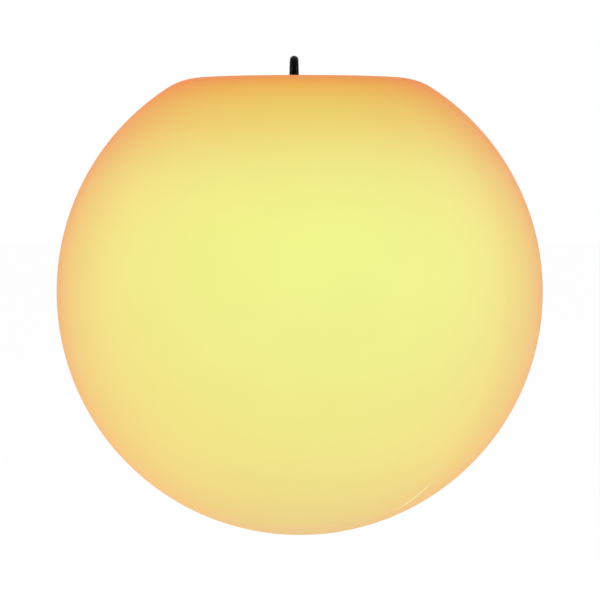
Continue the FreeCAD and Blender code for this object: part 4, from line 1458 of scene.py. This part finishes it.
# ---- Studio ----
@dataclass(frozen=True)
class Softbox:
    """A plain soft lamp, aimed at the light."""

    name: str
    azimuth: float
    elevation: float
    distance: float
    size: Point
    radiance: float
    in_gloss_only: bool = False

    def build(self, target: Vector) -> None:
        """Adds the lamp, with its azimuth measured from the camera's side towards +X."""
        turn, lift = math.radians(self.azimuth), math.radians(self.elevation)
        level = math.cos(lift)
        away = Vector((math.sin(turn) * level, -math.cos(turn) * level, math.sin(lift)))
        data = bpy.data.lights.new(self.name, "AREA")
        data.shape = "RECTANGLE"
        data.size, data.size_y = self.size
        data.energy = self.radiance * math.pi * self.size[0] * self.size[1]
        lamp = added(self.name, data)
        lamp.location = target + away * self.distance
        lamp.rotation_euler = away.to_track_quat("Z", "Y").to_euler()
        lamp.visible_diffuse = not self.in_gloss_only


@dataclass(frozen=True)
class Studio:
    """A white room with a pale floor far below the hanging light, soft lamps and the camera."""

    floor_drop: float = 0.30
    floor_size: float = 60.0
    room_light: float = 0.72
    floor_grey: float = 0.80
    floor_white: float = 0.41
    camera_distance: float = 2.45
    camera_elevation: float = 1.8
    lens: float = 203.7
    sensor: float = 36.0
    image_side: float = 600.0
    ball_pixel: Point = (299.7, 291.9)
    clip: Point = (0.05, 200.0)
    lamps: tuple[Softbox, ...] = (
        Softbox("softbox_left", -74.0, 6.0, 2.2, (0.9, 1.5), 4.0),
        Softbox("softbox_right", 58.0, 12.0, 2.2, (0.8, 1.4), 4.0),
        Softbox("strip_left", -88.0, 24.0, 2.1, (0.8, 2.2), 15.0, True),
        Softbox("strip_right", 88.0, 24.0, 2.1, (0.8, 2.2), 15.0, True),
    )

    def room(self) -> None:
        """Makes the world: white to the camera and in reflections, and a plain level as light."""
        world = bpy.data.worlds.new("white_room")
        world.use_nodes = True
        bpy.context.scene.world = world
        sketch = TreeSketch(world.node_tree)
        background = world.node_tree.nodes["Background"]
        seen = sketch.seen("Is Camera Ray", "Is Glossy Ray", "Is Transmission Ray")
        sketch.feed(background.inputs["Color"], (1.0, 1.0, 1.0, 1.0))
        sketch.feed(background.inputs["Strength"], sketch.between(seen, (0.0, self.room_light), (1.0, 1.0)))

    def floor(self, height: float) -> None:
        """Lays the floor: pale, and white to the camera but for the light's own shadow."""
        side = self.floor_size / 2.0
        mesh = bpy.data.meshes.new("floor")
        places = [(-side, -side, height), (side, -side, height), (side, side, height), (-side, side, height)]
        mesh.from_pydata(places, [], [(0, 1, 2, 3)])
        sketch = ShaderSketch("pale_floor")
        seen = sketch.seen("Is Camera Ray", "Is Glossy Ray")
        sketch.set(
            Base_Color=(self.floor_grey, self.floor_grey, self.floor_grey, 1.0),
            Roughness=0.9,
            Specular_IOR_Level=0.0,
            Emission_Color=(1.0, 1.0, 1.0, 1.0),
            Emission_Strength=sketch.maths("MULTIPLY", seen, self.floor_white),
        )
        mesh.materials.append(sketch.material)
        added("floor", mesh)

    def camera(self, centre: Vector) -> None:
        """Places the camera so that the ball's centre falls on its pixel of the photograph.

        Args:
            centre: the ball's centre, in metres.
        """
        lift = math.radians(self.camera_elevation)
        back = Vector((0.0, -math.cos(lift), math.sin(lift)))
        up = Vector((0.0, math.sin(lift), math.cos(lift)))
        middle = self.image_side / 2.0
        pixel = self.camera_distance * self.sensor / self.lens / self.image_side
        right_shift = (middle - self.ball_pixel[0]) * pixel
        up_shift = (self.ball_pixel[1] - middle) * pixel
        aim = centre + Vector((right_shift, 0.0, 0.0)) + up * up_shift
        data = bpy.data.cameras.new("camera")
        data.lens, data.sensor_width = self.lens, self.sensor
        data.clip_start, data.clip_end = self.clip
        made = added("camera", data)
        made.location = centre + back * self.camera_distance
        made.rotation_euler = (made.location - aim).to_track_quat("Z", "Y").to_euler()
        bpy.context.scene.camera = made

    def build(self, bench: Workbench) -> None:
        """Sets up the room, the lamps, the floor and the camera."""
        bpy.context.scene.view_settings.view_transform = "Standard"
        self.room()
        self.floor(bench.centre.z - bench.radius - self.floor_drop)
        self.camera(bench.centre)
        for lamp in self.lamps:
            lamp.build(bench.centre)


def corners(bounds: tuple[Vector, Vector]) -> list[list[float]]:
    """Returns a box's two corners as plain lists."""
    return [list(corner) for corner in bounds]


def main() -> None:
    """Builds the light and its studio round the frame."""
    logging.basicConfig(level=logging.INFO, format="%(name)s: %(message)s")
    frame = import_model()
    bench = Workbench(frame)
    Studio().build(bench)
    for part in (Ball(), Neck(), Housing(), Bail(), Controls(), Marks(), Inside()):
        part.build(bench)
        LOG.info("%s built", type(part).__name__)


if __name__ == "__main__":
    main()
